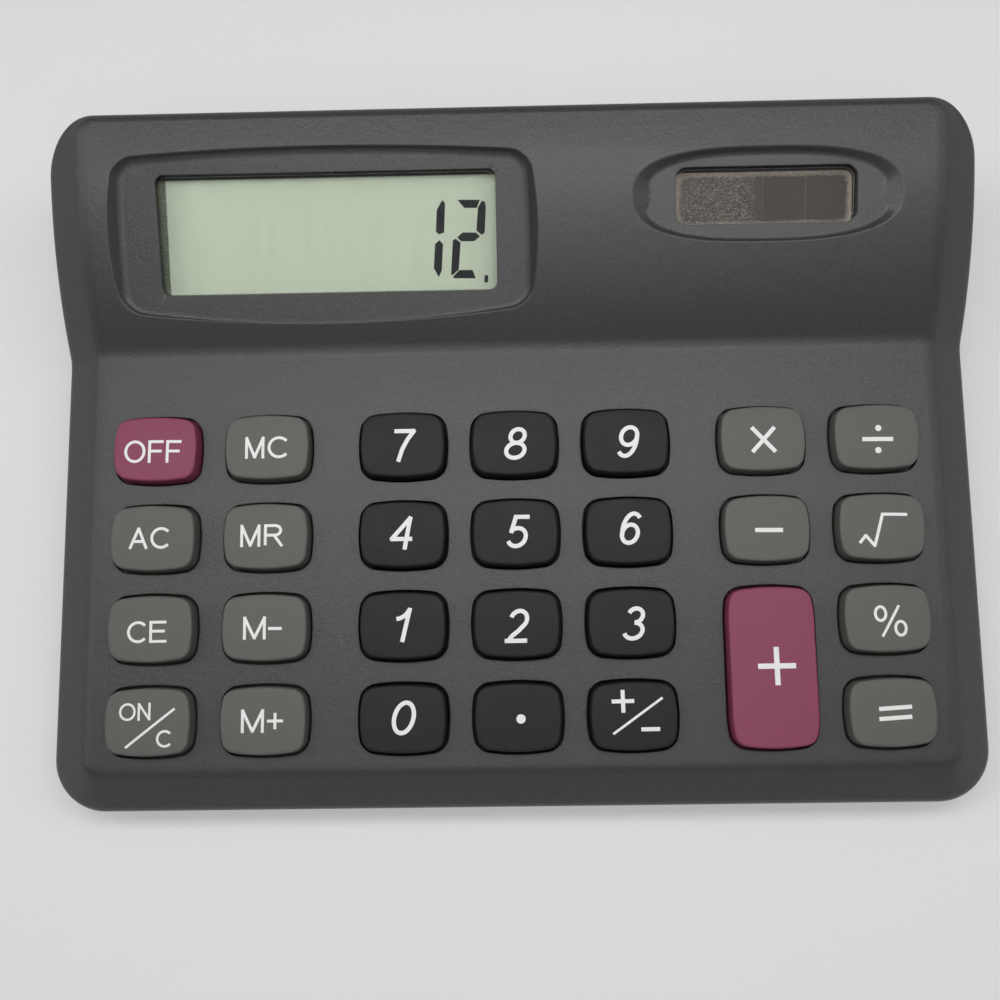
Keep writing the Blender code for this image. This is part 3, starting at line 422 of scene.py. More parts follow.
keyPlaces = {}  # name: middle x and y, half of the straight stretch, column
for row, names in enumerate(keyNames):
    for column, name in enumerate(names):
        if name:
            tall = name == "plus"
            y = keyForm["firstRow"] + (3 - row - 0.5 * tall) * keyForm["rowPitch"]
            keyPlaces[name] = (keyForm["columns"][column], y, tall * keyForm["rowPitch"] / 2, column)

pockets = {
    "display": {"x": -29.6, "y": 90.995, "shiftX": -0.45, "shiftY": 0.08, "halfX": 33.15, "halfY": 12.25,
                "corner": 3.2, "bows": (1.3, 1.2, 2.24), "draft": 0.8, "sideDraft": 0.8, "sink": 2,
                "lean": 0.022, "padX": 35.4, "windowX": 27.3, "windowY": 9.5, "windowRadius": 1.2,
                "plugSink": 1.25, "rimSoft": 0.22, "floorSoft": 0.8},
    "solar": {"x": 40.75, "y": 95.395, "shiftX": 0, "shiftY": 0.07, "halfX": 21.3, "halfY": 7.34,
              "power": 2.7, "points": 140, "draft": 0.8, "sideDraft": 2.3, "sink": 1.2,
              "lean": 0.05, "padX": 22.45, "windowX": 14.45, "windowY": 4.475, "windowRadius": 1.8,
              "plugSink": 1.25, "rimSoft": 0.3, "floorSoft": 0.5},
}
bezel = {"thick": 1.5, "lip": 1.6, "plate": 0.8, "gap": 0.3, "frameWall": 1.2, "edge": 0.15, "soft": 0.05,
         "padRadius": 0.8, "slabRadius": 0.3}


def keyLoop(grow, straight, scale=1):  # outline of a key hole, or of the key inside it
    radius = max(keyForm["least"], keyForm["corner"] + grow)
    loop = barrel((keyForm["halfX"] + grow) * scale, (keyForm["halfY"] + grow) * scale, radius * scale,
                  [bow * scale for bow in keyForm["bows"]], 8, 9)
    return [(a, b + copysign(straight * scale, b)) for a, b in loop]


def sideStations():
    crease = [creaseStart + case["creaseRadius"] * sin(rise * i / case["creaseSteps"])
              for i in range(case["creaseSteps"] + 1)]
    step = (case["length"] - case["cornerRadius"] - crease[-1]) / case["headSteps"]
    head = [crease[-1] + step * (i + 1) for i in range(case["headSteps"] - 1)]
    return case["deckStations"] + crease + head


def planOutline(sideInset, frontInset, rearInset, stations=()):  # x, y and which way an edge faces
    half = case["halfWidth"] - sideInset
    radius = max(case["cornerRadius"] - sideInset, case["leastCorner"])

    def corner(y, turn):
        angles = [(i / case["cornerSteps"] + turn) * pi / 2 for i in range(case["cornerSteps"] + 1)]
        return [(half - radius + radius * cos(a), y + radius * sin(a), sin(a)) for a in angles]

    right = (corner(frontInset + radius, -1) + [(half, y, 0) for y in stations]
             + corner(case["length"] - rearInset - radius, 0))
    return right + [(-x, y, facing) for x, y, facing in reversed(right)]


def droppedRing(insets, drops):
    side, front, rear = drops
    ring = []
    for x, y, facing in planOutline(*insets, sideStations()):
        end = rear if facing > 0 else front
        ring.append((x, y, surfaceHeight(y) - side * (1 - facing ** 2) - end * facing ** 2))
    return ring


def levelRing(inset, height, stations=()):
    return [(x, y, height) for x, y, _ in planOutline(inset, inset, inset, stations)]


def bevelProfile(width):  # inset and drop, from the deck to the side wall
    drop, soft = case["bevelDrop"], case["edgeSoft"]
    knee = (case["kneeInset"] * width, case["kneeDrop"] * drop)
    start = between((width, 0), knee, soft / hypot(width - knee[0], knee[1]))
    return (bezier((width + soft, 0), (width, 0), start, 5) + [between(start, knee, t) for t in (0.33, 0.67)]
            + bezier(knee, (0, case["kneeEnd"] * drop), (0, drop), 5))


def barrel(halfX, halfY, radius, bows, arcs=10, straights=26):  # a rounded rectangle whose sides bow outwards
    sideBow, topBow, lowBow = bows
    corners = roundedRectangle(halfX, halfY, radius, arcs)
    loop = []
    for i in range(4):
        turn = corners[i * (arcs + 1):(i + 1) * (arcs + 1)]
        start = corners[(i + 1) * (arcs + 1) % len(corners)]
        loop += turn + [between(turn[-1], start, (k + 1) / (straights + 1)) for k in range(straights)]
    return [(x + x / halfX * sideBow * (1 - (y / halfY) ** 2),
             y + y / halfY * (topBow if y > 0 else lowBow) * (1 - (x / halfX) ** 2)) for x, y in loop]


def pocketRim(pocket):  # outline where the walls meet the head, and the way outwards at each point
    if "corner" in pocket:
        loop = barrel(pocket["halfX"], pocket["halfY"], pocket["corner"], pocket["bows"])
    else:
        loop = squircle(pocket["halfX"], pocket["halfY"], pocket["power"], pocket["points"])
    rim = []
    for before, point, after in zip(loop[-1:] + loop[:-1], loop, loop[1:] + loop[:1]):
        way = Vector((after[1] - before[1], before[0] - after[0])).normalized()
        rim.append((point[0] + pocket["shiftX"], point[1] + pocket["shiftY"], way.x, way.y))
    return rim


def addPocket(bm, pocket):  # walls, floor and window opening; gives back the loop that the deck plate needs
    place, sink, radius = pocketSpace(pocket), pocket["sink"], case["headRadius"]
    rimSoft, floorSoft = pocket["rimSoft"], pocket["floorSoft"]

    def onHead(b):
        return sqrt(radius ** 2 - b ** 2) - radius

    def onFloor(b):  # the floor leans, so that it comes out shallow towards the keys
        return -sink - pocket["lean"] * b

    columns = []
    for x, y, across, up in pocketRim(pocket):
        def at(reach, surface):
            b = y + up * reach
            return (x + across * reach, b, surface(b))
        draft = pocket["draft"] * up ** 2 + pocket["sideDraft"] * across ** 2
        inset = draft * (onHead(y) - onFloor(y))
        top, foot = at(0, onHead), at(-inset, onFloor)
        wall = dist(top, foot)
        high = between(top, foot, min(0.5, rimSoft / wall))
        low = between(foot, top, min(0.5, floorSoft / wall))
        columns.append(bezier(at(rimSoft, onHead), top, high, 5)
                       + bezier(low, foot, at(-inset - floorSoft, onFloor), 6))
    rings = [list(ring) for ring in zip(*columns)]
    outside, inside = rings[0], rings[-1]
    addRings(bm, rings, place)
    x, y, bend = pocket["windowX"], pocket["windowY"], pocket["windowRadius"]
    ceiling = -sink - bezel["thick"]
    window = []
    for grow, drop in quarter(bezel["edge"], 2):
        loop = roundedRectangle(x + grow, y + grow, bend + bezel["edge"], 8)
        window.append([(a, b, onFloor(b) - drop) for a, b in loop])
    window.append(atHeight(roundedRectangle(x, y, bend, 8), ceiling))
    addRings(bm, window, place)
    addPlate(bm, inside, [window[0]], [], lambda a, b: place @ Vector((a, b, onFloor(b))))
    padY = y + bezel["lip"] + bezel["frameWall"] + 2 * bezel["gap"]
    pad = roundedRectangle(pocket["padX"], padY, bezel["padRadius"], 3)
    underside = []
    for a, b in pad:  # where the pad leaves the ceiling
        z = 0
        for _ in range(12):
            point = place @ Vector((a, b, z))
            z -= point.z - (surfaceHeight(point.y) - case["wall"])
        underside.append(place @ Vector((a, b, z)))
    addRings(bm, [[place @ Vector(p) for p in atHeight(pad, ceiling)], underside])
    addPlate(bm, pad, [window[-1]], [], lambda a, b: place @ Vector((a, b, ceiling)), flip=True)
    return [place @ Vector(p) for p in outside], underside


def makeUpperCase():
    bm = bmesh.new()
    widths, wall, rearRound = (case["sideBevel"], case["frontBevel"]), case["wall"], case["rearRound"]
    side, front = (bevelProfile(width) for width in widths)
    rings = [droppedRing(*zip(*points)) for points in zip(side, front, quarter(rearRound, len(side) - 1))]
    insets, drops = [], []
    for width in widths:  # keeps the wall's thickness behind the bevel
        slope = case["kneeDrop"] * case["bevelDrop"] / ((1 - case["kneeInset"]) * width)
        thick = wall * sqrt(1 + slope ** 2)
        insets.append(width + (thick - wall) / slope)
        drops.append((width - wall) * slope + thick)
    ceiling = droppedRing((*insets, wall + rearRound / 2), (wall,) * 3)
    rings += [levelRing(inset, case["upperRim"], sideStations()) for inset in (0, wall)]
    rings += [droppedRing((wall,) * 3, (*drops, wall + rearRound / 2)), ceiling]
    addRings(bm, list(reversed(rings)))
    topHoles, underHoles = [], []
    for x, y, straight, _ in keyPlaces.values():
        def ring(grow, z):
            return [(x + a, y + b, z) for a, b in keyLoop(grow, straight)]
        hole = [ring(grow, -drop) for grow, drop in quarter(keyForm["rim"], 4)] + [ring(0, -wall)]
        addRings(bm, hole)
        topHoles.append(hole[0])
        underHoles.append(hole[-1])
    for pocket in pockets.values():
        rim, pad = addPocket(bm, pocket)
        topHoles.append(rim)
        underHoles.append(pad)
    stations = [y for y in sideStations() if y > creaseStart - 1]
    extra = [(x * 3.9, y) for y in stations for x in range(-17, 18)]
    addPlate(bm, rings[0], topHoles, extra, lambda x, y: Vector((x, y, surfaceHeight(y))))
    addPlate(bm, ceiling, underHoles, [(x * 15, y) for y in stations[::3] for x in range(-4, 5)],
             lambda x, y: Vector((x, y, surfaceHeight(y) - wall)), flip=True)
    shell = makePiece("upper_case_shell", bm, finishes["casePlastic"], deckSpace, sharp=35)
    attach(shell, "case")
    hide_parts("upper_case")
    return shell


upperCase = makeUpperCase()
print("upper case:", len(upperCase.data.vertices), "points")

# Display and solar window: clear plugs, the liquid crystal glass with its figures, and the cell
def makeClearPlastic():
    material, tree, shader = newFinish("clearPlastic", {"color": (246, 248, 245), "roughness": 0.04})
    shader.inputs['Transmission Weight'].default_value = 1
    shader.inputs['IOR'].default_value = 1.49
    rough = addMath(tree, 'MULTIPLY_ADD', addNoise(tree, 700, 4, 0.7), 0.05, 0.02)
    feed(tree, rough, shader, 'Roughness')
    through = tree.nodes.new('ShaderNodeBsdfTransparent')  # lets the lamps reach what lies under the window
    shadow = tree.nodes.new('ShaderNodeLightPath').outputs['Is Shadow Ray']
    mixShaders(tree, shadow, shader.outputs['BSDF'], through.outputs['BSDF'])
    return material


finishes["clearPlastic"] = makeClearPlastic()


def makeWindow(name, pocket):
    x, y, radius = pocket["windowX"], pocket["windowY"], pocket["windowRadius"]
    gap, lip, soft = bezel["gap"], bezel["lip"], bezel["soft"]
    plateTop = -pocket["sink"] - bezel["thick"] - gap
    top = -pocket["sink"] - pocket["plugSink"]
    steps = ((lip, 0, plateTop - bezel["plate"]), (lip, 0, plateTop), (-gap, 0, plateTop),
             (-gap, 0, top - soft), (-gap - soft, -soft, top))
    bm = bmesh.new()
    rings = [(roundedRectangle(x + grow, y + grow, radius + bend, 8), z) for grow, bend, z in steps]
    addSolid(bm, [atHeight(*ring) for ring in rings])
    place = deckSpace @ pocketSpace(pocket)
    window = makePiece(name + "_window_clear", bm, finishes["clearPlastic"], place, weighted=False)
    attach(window, "case")
    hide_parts(name + "_window")


for name, pocket in pockets.items():
    makeWindow(name, pocket)

panel = {
    "color": (212, 222, 203), "shadow": (14, 14, 13), "glue": (112, 120, 104), "thick": 1.8, "edge": 0.15,
    "glueLeft": -26.4, "glueLean": 0.023, "shadowTop": 8.72, "lift": 0.03,
}
figureShapes = (  # a one, a two and a point, in millimetres from the window's middle
    ((18.61, 4.86), (19.05, 4.33), (18.75, -0.28), (17.96, -0.57), (17.42, -0.13), (17.67, 3.3)),
    ((17.94, -1.46), (18.53, -2.14), (18.19, -6.4), (17.67, -7.39), (16.9, -5.97), (17.23, -2.12)),
    ((21.09, 4.85), (24.69, 4.78), (24.17, 3.52), (22.14, 3.56)),
    ((25.06, 4.68), (25.54, 4.4), (25.65, 3.61), (25.38, -0.41), (24.88, -0.8), (24.02, -0.04),
     (24.38, 3.56)),
    ((20.88, -1.07), (21.77, -0.34), (23.93, -0.39), (24.6, -0.99), (23.64, -1.76), (21.45, -1.72)),
    ((20.57, -1.31), (21.4, -1.93), (20.99, -6.24), (19.94, -7.16), (19.7, -6.98), (20.15, -1.55)),
    ((21.07, -6.33), (23.25, -6.37), (23.75, -7.72), (20.21, -7.65), (20.02, -7.39)),
    ((25.24, -7.24), (25.82, -7.26), (25.71, -8.43), (25.12, -8.42)))


def makePanelFinish():  # grey-green glass with faint upright ghosts, a speckled glue strip at the left edge and painted shade along the top edge
    look = {"color": panel["color"], "roughness": 0.4, "specular": 0.3}
    material, tree, shader = newFinish("liquidCrystal", look)
    ghosts = addNoise(tree, 0.5, stretch=(1.3, 0.25, 1))
    mottle = addMath(tree, 'MULTIPLY', addNoise(tree, 2.2, 3, 0.6), 0.4)
    face = addTint(tree, addMath(tree, 'MULTIPLY_ADD', ghosts, 0.6, mottle), panel["color"], 0.9, 1.08)
    x, y, _ = addAxes(tree)
    ragged = addSwing(tree, addNoise(tree, 3, 3, 0.7), 0.5)
    edge = addMath(tree, 'MULTIPLY_ADD', y, -panel["glueLean"], addMath(tree, 'ADD', x, ragged))
    left = addRange(tree, edge, panel["glueLeft"] + 0.08, panel["glueLeft"] - 0.08)
    specks = addRange(tree, addNoise(tree, 4.5, 4, 0.7), 0.4, 0.62)
    face = addMix(tree, left, face, addTint(tree, specks, panel["glue"], 0.45, 1.7))
    # painted shade: the glass turns near-black along its top edge, where the opening's wall shades it
    edge = addMath(tree, 'MULTIPLY_ADD', ragged, 0.4, y)
    top = addRange(tree, edge, panel["shadowTop"] - 0.12, panel["shadowTop"] + 0.12)
    feed(tree, addMix(tree, top, face, shade(panel["shadow"])), shader, 'Base Color')
    return material


def addSlab(bm, pocket, thick, edge):  # the slab under a window; gives back its upper face's height
    top = -pocket["sink"] - bezel["thick"] - bezel["plate"] - 2 * bezel["gap"]
    x, y, radius = pocket["windowX"] + bezel["lip"], pocket["windowY"] + bezel["lip"], bezel["slabRadius"]
    outline = roundedRectangle(x, y, radius, 3)
    addSolid(bm, [atHeight(outline, top - thick), atHeight(outline, top - edge),
                  atHeight(roundedRectangle(x - edge, y - edge, radius - 0.1, 3), top)])
    return top


def makeDisplayGlass():
    pocket = pockets["display"]
    bm = bmesh.new()
    top = addSlab(bm, pocket, panel["thick"], panel["edge"])
    for shape in figureShapes:
        first = len(bm.faces)
        addPrism(bm, list(reversed(shape)), top - 0.01, top + panel["lift"])
        finishFaces(bm, first, 1)
    materials = [makePanelFinish(), finishes["figureInk"]]
    place = deckSpace @ pocketSpace(pocket)
    glass = makePiece("display_panel", bm, materials, place, weighted=False, keepFrame=True)
    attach(glass, "case")
    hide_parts("display_glass")


makeDisplayGlass()

cell = {
    "color": (56, 45, 39), "line": (112, 100, 92), "rim": (186, 170, 160), "scratchSheen": (196, 188, 182),
    # the near-black gap colour is painted shade, laid along the cell's top and right edges where the
    # opening's walls shade it
    "gap": (12, 12, 11), "thick": 1.1, "edge": 0.12, "pitch": 6.95, "lineAt": -0.2, "lineWidth": 0.07,
    "rimX": 13.85, "rimY": 4.1, "rimShiftY": -0.4, "rimWidth": 0.75, "bend": 2.4,
    "scratchEnd": -1.6, "scratchFade": 1.4, "paintedShadeTop": 3.85, "paintedShadeRight": 14.1,
}


def makeCellFinish():  # brown film in strips, a rougher border painted pale as a highlight, scratches towards one end painted pale with the reflection they catch, and painted shade at the top and right
    material, tree, shader = newFinish("solarSilicon", {"color": cell["color"], "roughness": 0.3})
    x, y, _ = addAxes(tree)

    def bent(across, along):  # the larger of the two, rounded where they meet
        return addMath(tree, 'SMOOTH_MAX', across, along, cell["bend"])

    def beyond(value, edge):
        return addMath(tree, 'SUBTRACT', value, edge)

    def size(value):
        return addMath(tree, 'ABSOLUTE', value)

    film = addTint(tree, addNoise(tree, 0.6, 3, 0.6), cell["color"], 0.8, 1.25)
    turn = addMath(tree, 'FRACT', addMath(tree, 'MULTIPLY', beyond(x, cell["lineAt"]), 1 / cell["pitch"]))
    away = beyond(0.5, size(beyond(turn, 0.5)))
    width = cell["lineWidth"] / cell["pitch"]
    line = addMath(tree, 'MULTIPLY', addRange(tree, away, width * 1.6, width), 0.4)
    film = addMix(tree, line, film, shade(cell["line"]))
    # scratches towards the left end: real marks whose bumps come from this noise, painted pale with the
    # reflection they catch
    scratches = addNoise(tree, 2.6, 6, 0.75, (1, 2.6, 1))
    end, reach = cell["scratchEnd"], cell["scratchFade"]
    fade = addMath(tree, 'MULTIPLY', addRange(tree, x, end + reach, end - reach), 0.75)
    mask = addMath(tree, 'MULTIPLY', addRange(tree, scratches, 0.5, 0.66), fade)
    film = addMix(tree, mask, film, shade(cell["scratchSheen"]))
    ragged = addSwing(tree, addNoise(tree, 2.4, 5, 0.7), 1.3)
    # painted highlight: a pale border for the light that the clear window's edge refracts onto the cell; the
    # border is also made rougher
    over = bent(beyond(size(x), cell["rimX"]), beyond(size(beyond(y, cell["rimShiftY"])), cell["rimY"]))
    rim = addRange(tree, addMath(tree, 'ADD', over, ragged), -cell["rimWidth"], 0)
    rimHighlight = addTint(tree, addNoise(tree, 3.4, 4, 0.7), cell["rim"], 0.55, 1.3)
    # painted shade: near-black along the top and right edges, where the opening's walls shade the cell
    past = bent(beyond(y, cell["paintedShadeTop"]), beyond(x, cell["paintedShadeRight"]))
    gap = addRange(tree, addMath(tree, 'MULTIPLY_ADD', ragged, 0.25, past), -0.1, 0.1)
    face = addMix(tree, gap, addMix(tree, rim, film, rimHighlight), shade(cell["gap"]))
    feed(tree, face, shader, 'Base Color')
    feed(tree, addMath(tree, 'MULTIPLY_ADD', rim, 0.4, 0.28), shader, 'Roughness')
    addBump(tree, shader, scratches, 0.15, 0.05)
    return material


def makeSolarCell():
    pocket = pockets["solar"]
    bm = bmesh.new()
    addSlab(bm, pocket, cell["thick"], cell["edge"])
    place = deckSpace @ pocketSpace(pocket)
    piece = makePiece("solar_panel", bm, makeCellFinish(), place, weighted=False, keepFrame=True)
    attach(piece, "case")
    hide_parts("solar_cell")


makeSolarCell()
print("display and solar cell made")


# Legends: single-line letters, one unit high, drawn with an even stroke
def arc(cx, cy, rx, ry, start, end, steps=16):
    return [(cx + rx * cos(radians(start + (end - start) * i / steps)),
             cy + ry * sin(radians(start + (end - start) * i / steps))) for i in range(steps + 1)]


six = [arc(0.31, 0.31, 0.29, 0.31, 180, 540, 24), arc(0.37, 0.42, 0.35, 0.58, 196, 48)]
letters = {
    "0": [arc(0.31, 0.5, 0.31, 0.5, 90, 450, 28)],
    "1": [[(0.36, 0), (0.44, 1)], arc(-0.02, 1.1, 0.46, 0.4, -14, -84, 9)],
    "2": [arc(0.31, 0.71, 0.28, 0.29, 165, -32) + [(0.36, 0.34), (0.16, 0.17), (0.05, 0)],
          [(0, 0), (0.63, 0)]],
    "3": [arc(0.3, 0.765, 0.24, 0.235, 158, -90), arc(0.29, 0.265, 0.3, 0.265, 90, -160)],
    "4": [[(0.48, 0), (0.48, 1), (0, 0.29), (0.6, 0.29)]],
    "5": [[(0.57, 1), (0.15, 1), (0.07, 0.52)], arc(0.29, 0.31, 0.32, 0.31, 142, -155)],
    "6": six,
    "7": [[(0, 1), (0.62, 1), (0.44, 0.7), (0.31, 0.36), (0.25, 0)]],
    "8": [arc(0.31, 0.76, 0.24, 0.24, 90, 450, 22), arc(0.31, 0.26, 0.31, 0.26, 90, 450, 24)],
    "9": [[(0.62 - x, 1 - y) for x, y in stroke] for stroke in six],
    "A": [[(0, 0), (0.39, 1), (0.78, 0)], [(0.22, 0.32), (0.56, 0.32)]],
    "C": [arc(0.46, 0.5, 0.46, 0.5, 42, 318, 24)],
    "E": [[(0.7, 0), (0, 0), (0, 1), (0.68, 1)], [(0, 0.53), (0.62, 0.53)]],
    "F": [[(0, 0), (0, 1), (0.64, 1)], [(0, 0.52), (0.56, 0.52)]],
    "M": [[(0, 0), (0, 1), (0.38, 0), (0.76, 1), (0.76, 0)]],
    "N": [[(0, 0), (0, 1), (0.7, 0), (0.7, 1)]],
    "O": [arc(0.48, 0.5, 0.48, 0.5, 90, 450, 28)],
    "R": [[(0, 0), (0, 1), (0.42, 1)] + arc(0.42, 0.755, 0.25, 0.245, 80, -90, 12) + [(0, 0.51)],
          [(0.4, 0.48), (0.7, 0)]],
    "X": [[(0, 0), (0.64, 1)], [(0, 1), (0.64, 0)]],
}
letterGap = 0.28


def stretchEnds(line, reach):
    ends = [tuple(p + (p - q) / dist(a, b) * reach for p, q in zip(a, b))
            for a, b in ((line[0], line[1]), (line[-1], line[-2]))]
    return [ends[0]] + line[1:-1] + [ends[1]]


def word(text, x, y, width, height, stroke, slant=0):  # centred at x, y and fitted to its printed size
    lines, pen = [], 0
    for letter in text:
        strokes = letters[letter]
        lines += [[(pen + a + b * slant, b) for a, b in line] for line in strokes]
        pen += max(a for line in strokes for a, b in line) + letterGap
    left = min(a for line in lines for a, b in line)
    right = max(a for line in lines for a, b in line)
    across = (width - stroke) / (right - left)
    fitted = [[(x + (a - (left + right) / 2) * across, y + (b - 0.5) * (height - stroke)) for a, b in line]
              for line in lines]
    return [(stretchEnds(line, stroke / 2) if len(line) < 7 else line, stroke) for line in fitted]


def dot(x, y, radius):
    return [(arc(x, y, radius / 2, radius / 2, 0, 360, 16), radius)]


def bar(x0, y0, x1, y1, stroke):
    return [([(x0, y0), (x1, y1)], stroke)]


def cross(x, y, reach, stroke):
    return bar(x - reach, y, x + reach, y, stroke) + bar(x, y - reach, x, y + reach, stroke)


figure = {"height": 5.35, "stroke": 0.67, "slant": 0.17}
numerals = {  # middle x and y, and width
    "7": (0.5, -0.2, 3.5), "8": (0.23, -0.2, 3.7), "9": (0.27, -0.2, 3.7), "4": (-0.2, 0.15, 3.6),
    "5": (0.4, 0.05, 3.8), "6": (0.33, 0.3, 3.6), "1": (0.1, 0.04, 2.75), "2": (0, -0.35, 3.9),
    "3": (0.28, -0.25, 3.7), "0": (0.22, 0.14, 3.8)}
legends = {
    "point": dot(0.41, -0.25, 0.72),
    "sign": (cross(-1.71, 2.25, 1.75, 0.62) + bar(4.45, 2.65, -3.4, -2.72, 0.38)
             + bar(0.94, -2.1, 3.87, -2.13, 0.62)),
    "multiply": word("X", 0.02, -0.25, 3.9, 4.2, 0.66),
    "divide": bar(-2.42, -0.45, 2.5, -0.53, 0.68) + dot(0.23, 1.3, 0.5) + dot(0.02, -2.28, 0.5),
    "minus": bar(-2, -0.31, 2.41, -0.38, 0.68),
    "root": [([(-3.72, -2.65), (-2.75, -1.45), (-1.38, -3.1), (0.03, 1.9), (3.96, 1.85)], 0.48)],
    "plus": cross(0.45, 0.09, 2.95, 0.82),
    "percent": ([(arc(x, y, 0.82, 1.08, 0, 360, 20), 0.45) for x, y in ((-1.2, 0.72), (1.82, -1.62))]
                + bar(1.75, 1.95, -1.1, -2.85, 0.42)),
    "equals": bar(-2.3, 0.55, 2.8, 0.78, 0.64) + bar(-2.37, -0.97, 2.71, -0.74, 0.64),
    "off": word("OFF", -0.29, -0.49, 9.3, 3.7, 0.46),
    "memory_clear": word("MC", 0, -0.15, 6.9, 3.6, 0.46),
    "all_clear": word("AC", -0.43, -0.04, 6.5, 3.5, 0.46),
    "memory_recall": word("MR", -0.58, 0.07, 6.8, 3.6, 0.46),
    "clear_entry": word("CE", -0.38, -0.47, 6.3, 3.45, 0.44),
    "memory_minus": word("M", -1.46, -0.09, 3.6, 3.65, 0.46) + bar(0.7, -0.2, 2.85, -0.22, 0.48),
    "memory_plus": word("M", -1.53, -0.02, 3.6, 3.65, 0.46) + cross(1.99, -0.06, 1.25, 0.46),
    "on_clear": (word("ON", -1.89, 1.61, 5, 2.75, 0.36) + word("C", 2.75, -2.62, 2.4, 2.7, 0.38)
                 + bar(4.38, 1.99, -3.29, -3.89, 0.38)),
}
for text, fit in numerals.items():
    legends[text] = word(text, *fit, figure["height"], figure["stroke"], figure["slant"])

ink = {"high": 0.03, "lift": 0.001, "overlap": 0.003, "step": 0.4, "sharpest": 95}


def splitCorners(line, width):  # cuts a line where it turns too sharply, and lets the ends overlap
    runs, run = [], [Vector(line[0])]
    for before, point, after in zip(line, line[1:], line[2:]):
        before, point, after = Vector(before), Vector(point), Vector(after)
        behind, ahead = (point - before).normalized(), (after - point).normalized()
        turn = behind.angle(ahead)
        if turn < radians(ink["sharpest"]):
            run.append(point)
            continue
        over = width / 2 * tan(turn / 4)
        runs.append(run + [point + behind * over])
        run = [point - ahead * over]
    return runs + [run + [Vector(line[-1])]]


def addStroke(bm, line, width, surface, height):  # a thin raised band of ink along a line
    closed = dist(line[0], line[-1]) < 1e-6
    runs = [[Vector(p) for p in line]] if closed else splitCorners(line, width)
    first = len(bm.faces)
    for run in runs:
        points = run[:1]
        for a, b in zip(run, run[1:]):
            steps = max(1, ceil((b - a).length / ink["step"]))
            points += [a.lerp(b, (i + 1) / steps) for i in range(steps)]
        if closed:
            points.pop()
        count = len(points)
        rings = []
        for i, point in enumerate(points):
            ahead = points[(i + 1) % count] - point if closed or i < count - 1 else point - points[i - 1]
            behind = point - points[i - 1] if closed or i > 0 else ahead
            ahead.normalize()
            behind.normalize()
            side = Vector((-(ahead.y + behind.y), ahead.x + behind.x)).normalized()
            reach = width / 2 / side.dot(Vector((-ahead.y, ahead.x)))
            rings.append([(p.x, p.y, surface(*p) + up * height) for p, up in
                          ((point + side * reach, -1), (point + side * reach, 1),
                           (point - side * reach, 1), (point - side * reach, -1))])
        if closed:
            addRings(bm, rings, joined=True)
        else:
            addSolid(bm, rings)
        height += ink["overlap"]
    finishFaces(bm, first, 1)


# Keys: each one a moulded cap with its legend printed on the crown
keyLean = {  # degrees about x, y and z: how a cap sits a little askew on its dome
    "off": (0.3, -1, -0.8), "all_clear": (0.2, -0.8, -0.5), "clear_entry": (0, -0.8, 0.3),
    "on_clear": (-0.6, -1, 0.5), "divide": (0.4, 0.8, 0.4), "root": (0.3, 0.6, -0.5),
    "percent": (-0.3, 0.9, 0.6), "equals": (-0.5, 0.7, 0.8), "sign": (-0.5, 0.4, 0.7),
    "plus": (0, 0.3, 0.3), "0": (-0.4, -0.3, -0.4), "3": (0, 0.5, 0.4), "4": (0.3, -0.4, -0.4),
}


def makeKey(name, x, y, straight, column):
    finish = "blackKey" if column in (2, 3, 4) else "greyKey"
    if name in ("off", "plus"):
        finish = "burgundyKey"

    def crown(a, b):
        across, along = a / keyForm["halfX"], b / (keyForm["halfY"] + straight)
        return keyForm["height"] - keyForm["crownDrop"] * (across ** 2 + along ** 2)

    def ring(inset, z=None, scale=1, drop=0):
        loop = keyLoop(-keyForm["gap"] - inset, straight, scale)
        return [(a, b, z if z is not None else crown(a, b) - drop) for a, b in loop]

    flange, ledge = -keyForm["flange"] - keyForm["gap"], keyForm["flangeTop"]
    rings = [ring(flange, keyForm["flangeLow"]), ring(flange, ledge), ring(0, ledge)]
    draft, shoulder, drop = keyForm["draft"], keyForm["shoulder"], keyForm["shoulderDrop"]
    share, below = keyForm["foot"]  # where the side bends into the shoulder
    rings.append(ring(draft * share, drop=drop + below))
    rings += [ring(draft + shoulder * inset, drop=drop * down) for down, inset in quarter(1, 6)]
    rings += [ring(draft + shoulder, scale=scale) for scale in keyForm["crownScales"]]
    bm = bmesh.new()
    addSolid(bm, rings)
    for i, (line, stroke) in enumerate(legends[name]):
        addStroke(bm, line, stroke, crown, ink["high"] + ink["lift"] * i)
    turn = Matrix.Identity(4)
    for angle, axis in zip(keyLean.get(name, (0, 0, 0)), 'XYZ'):
        turn = turn @ Matrix.Rotation(radians(angle), 4, axis)
    place = deckSpace @ Matrix.Translation((x, y, 0)) @ turn
    name = "key_" + name
    key = makePiece(name + "_cap", bm, [finishes[finish], finishes["legendInk"]], place, sharp=50)
    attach(key, name + "_body")
    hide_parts(name)


for name, (x, y, straight, column) in keyPlaces.items():
    makeKey(name, x, y, straight, column)
print("keys made:", len(keyPlaces))

# Keypad mat: a rubber sheet, and under each key a hollow dome
mat = {"halfX": 66.4, "front": 7.38, "rear": 64.71, "top": -4.8, "low": -5.4, "domeTop": -3.2, "base": 3.4,
       "crown": 2, "wall": 0.4, "bossX": 28.95, "bossY": (21.545, 50.545), "bossRadius": 2.2, "pressed": 0.36,
       "corner": 2, "foot": (-0.2, 0.3), "shoulder": ((0.3, -0.3), (0.1, -0.08), (-0.1, 0))}


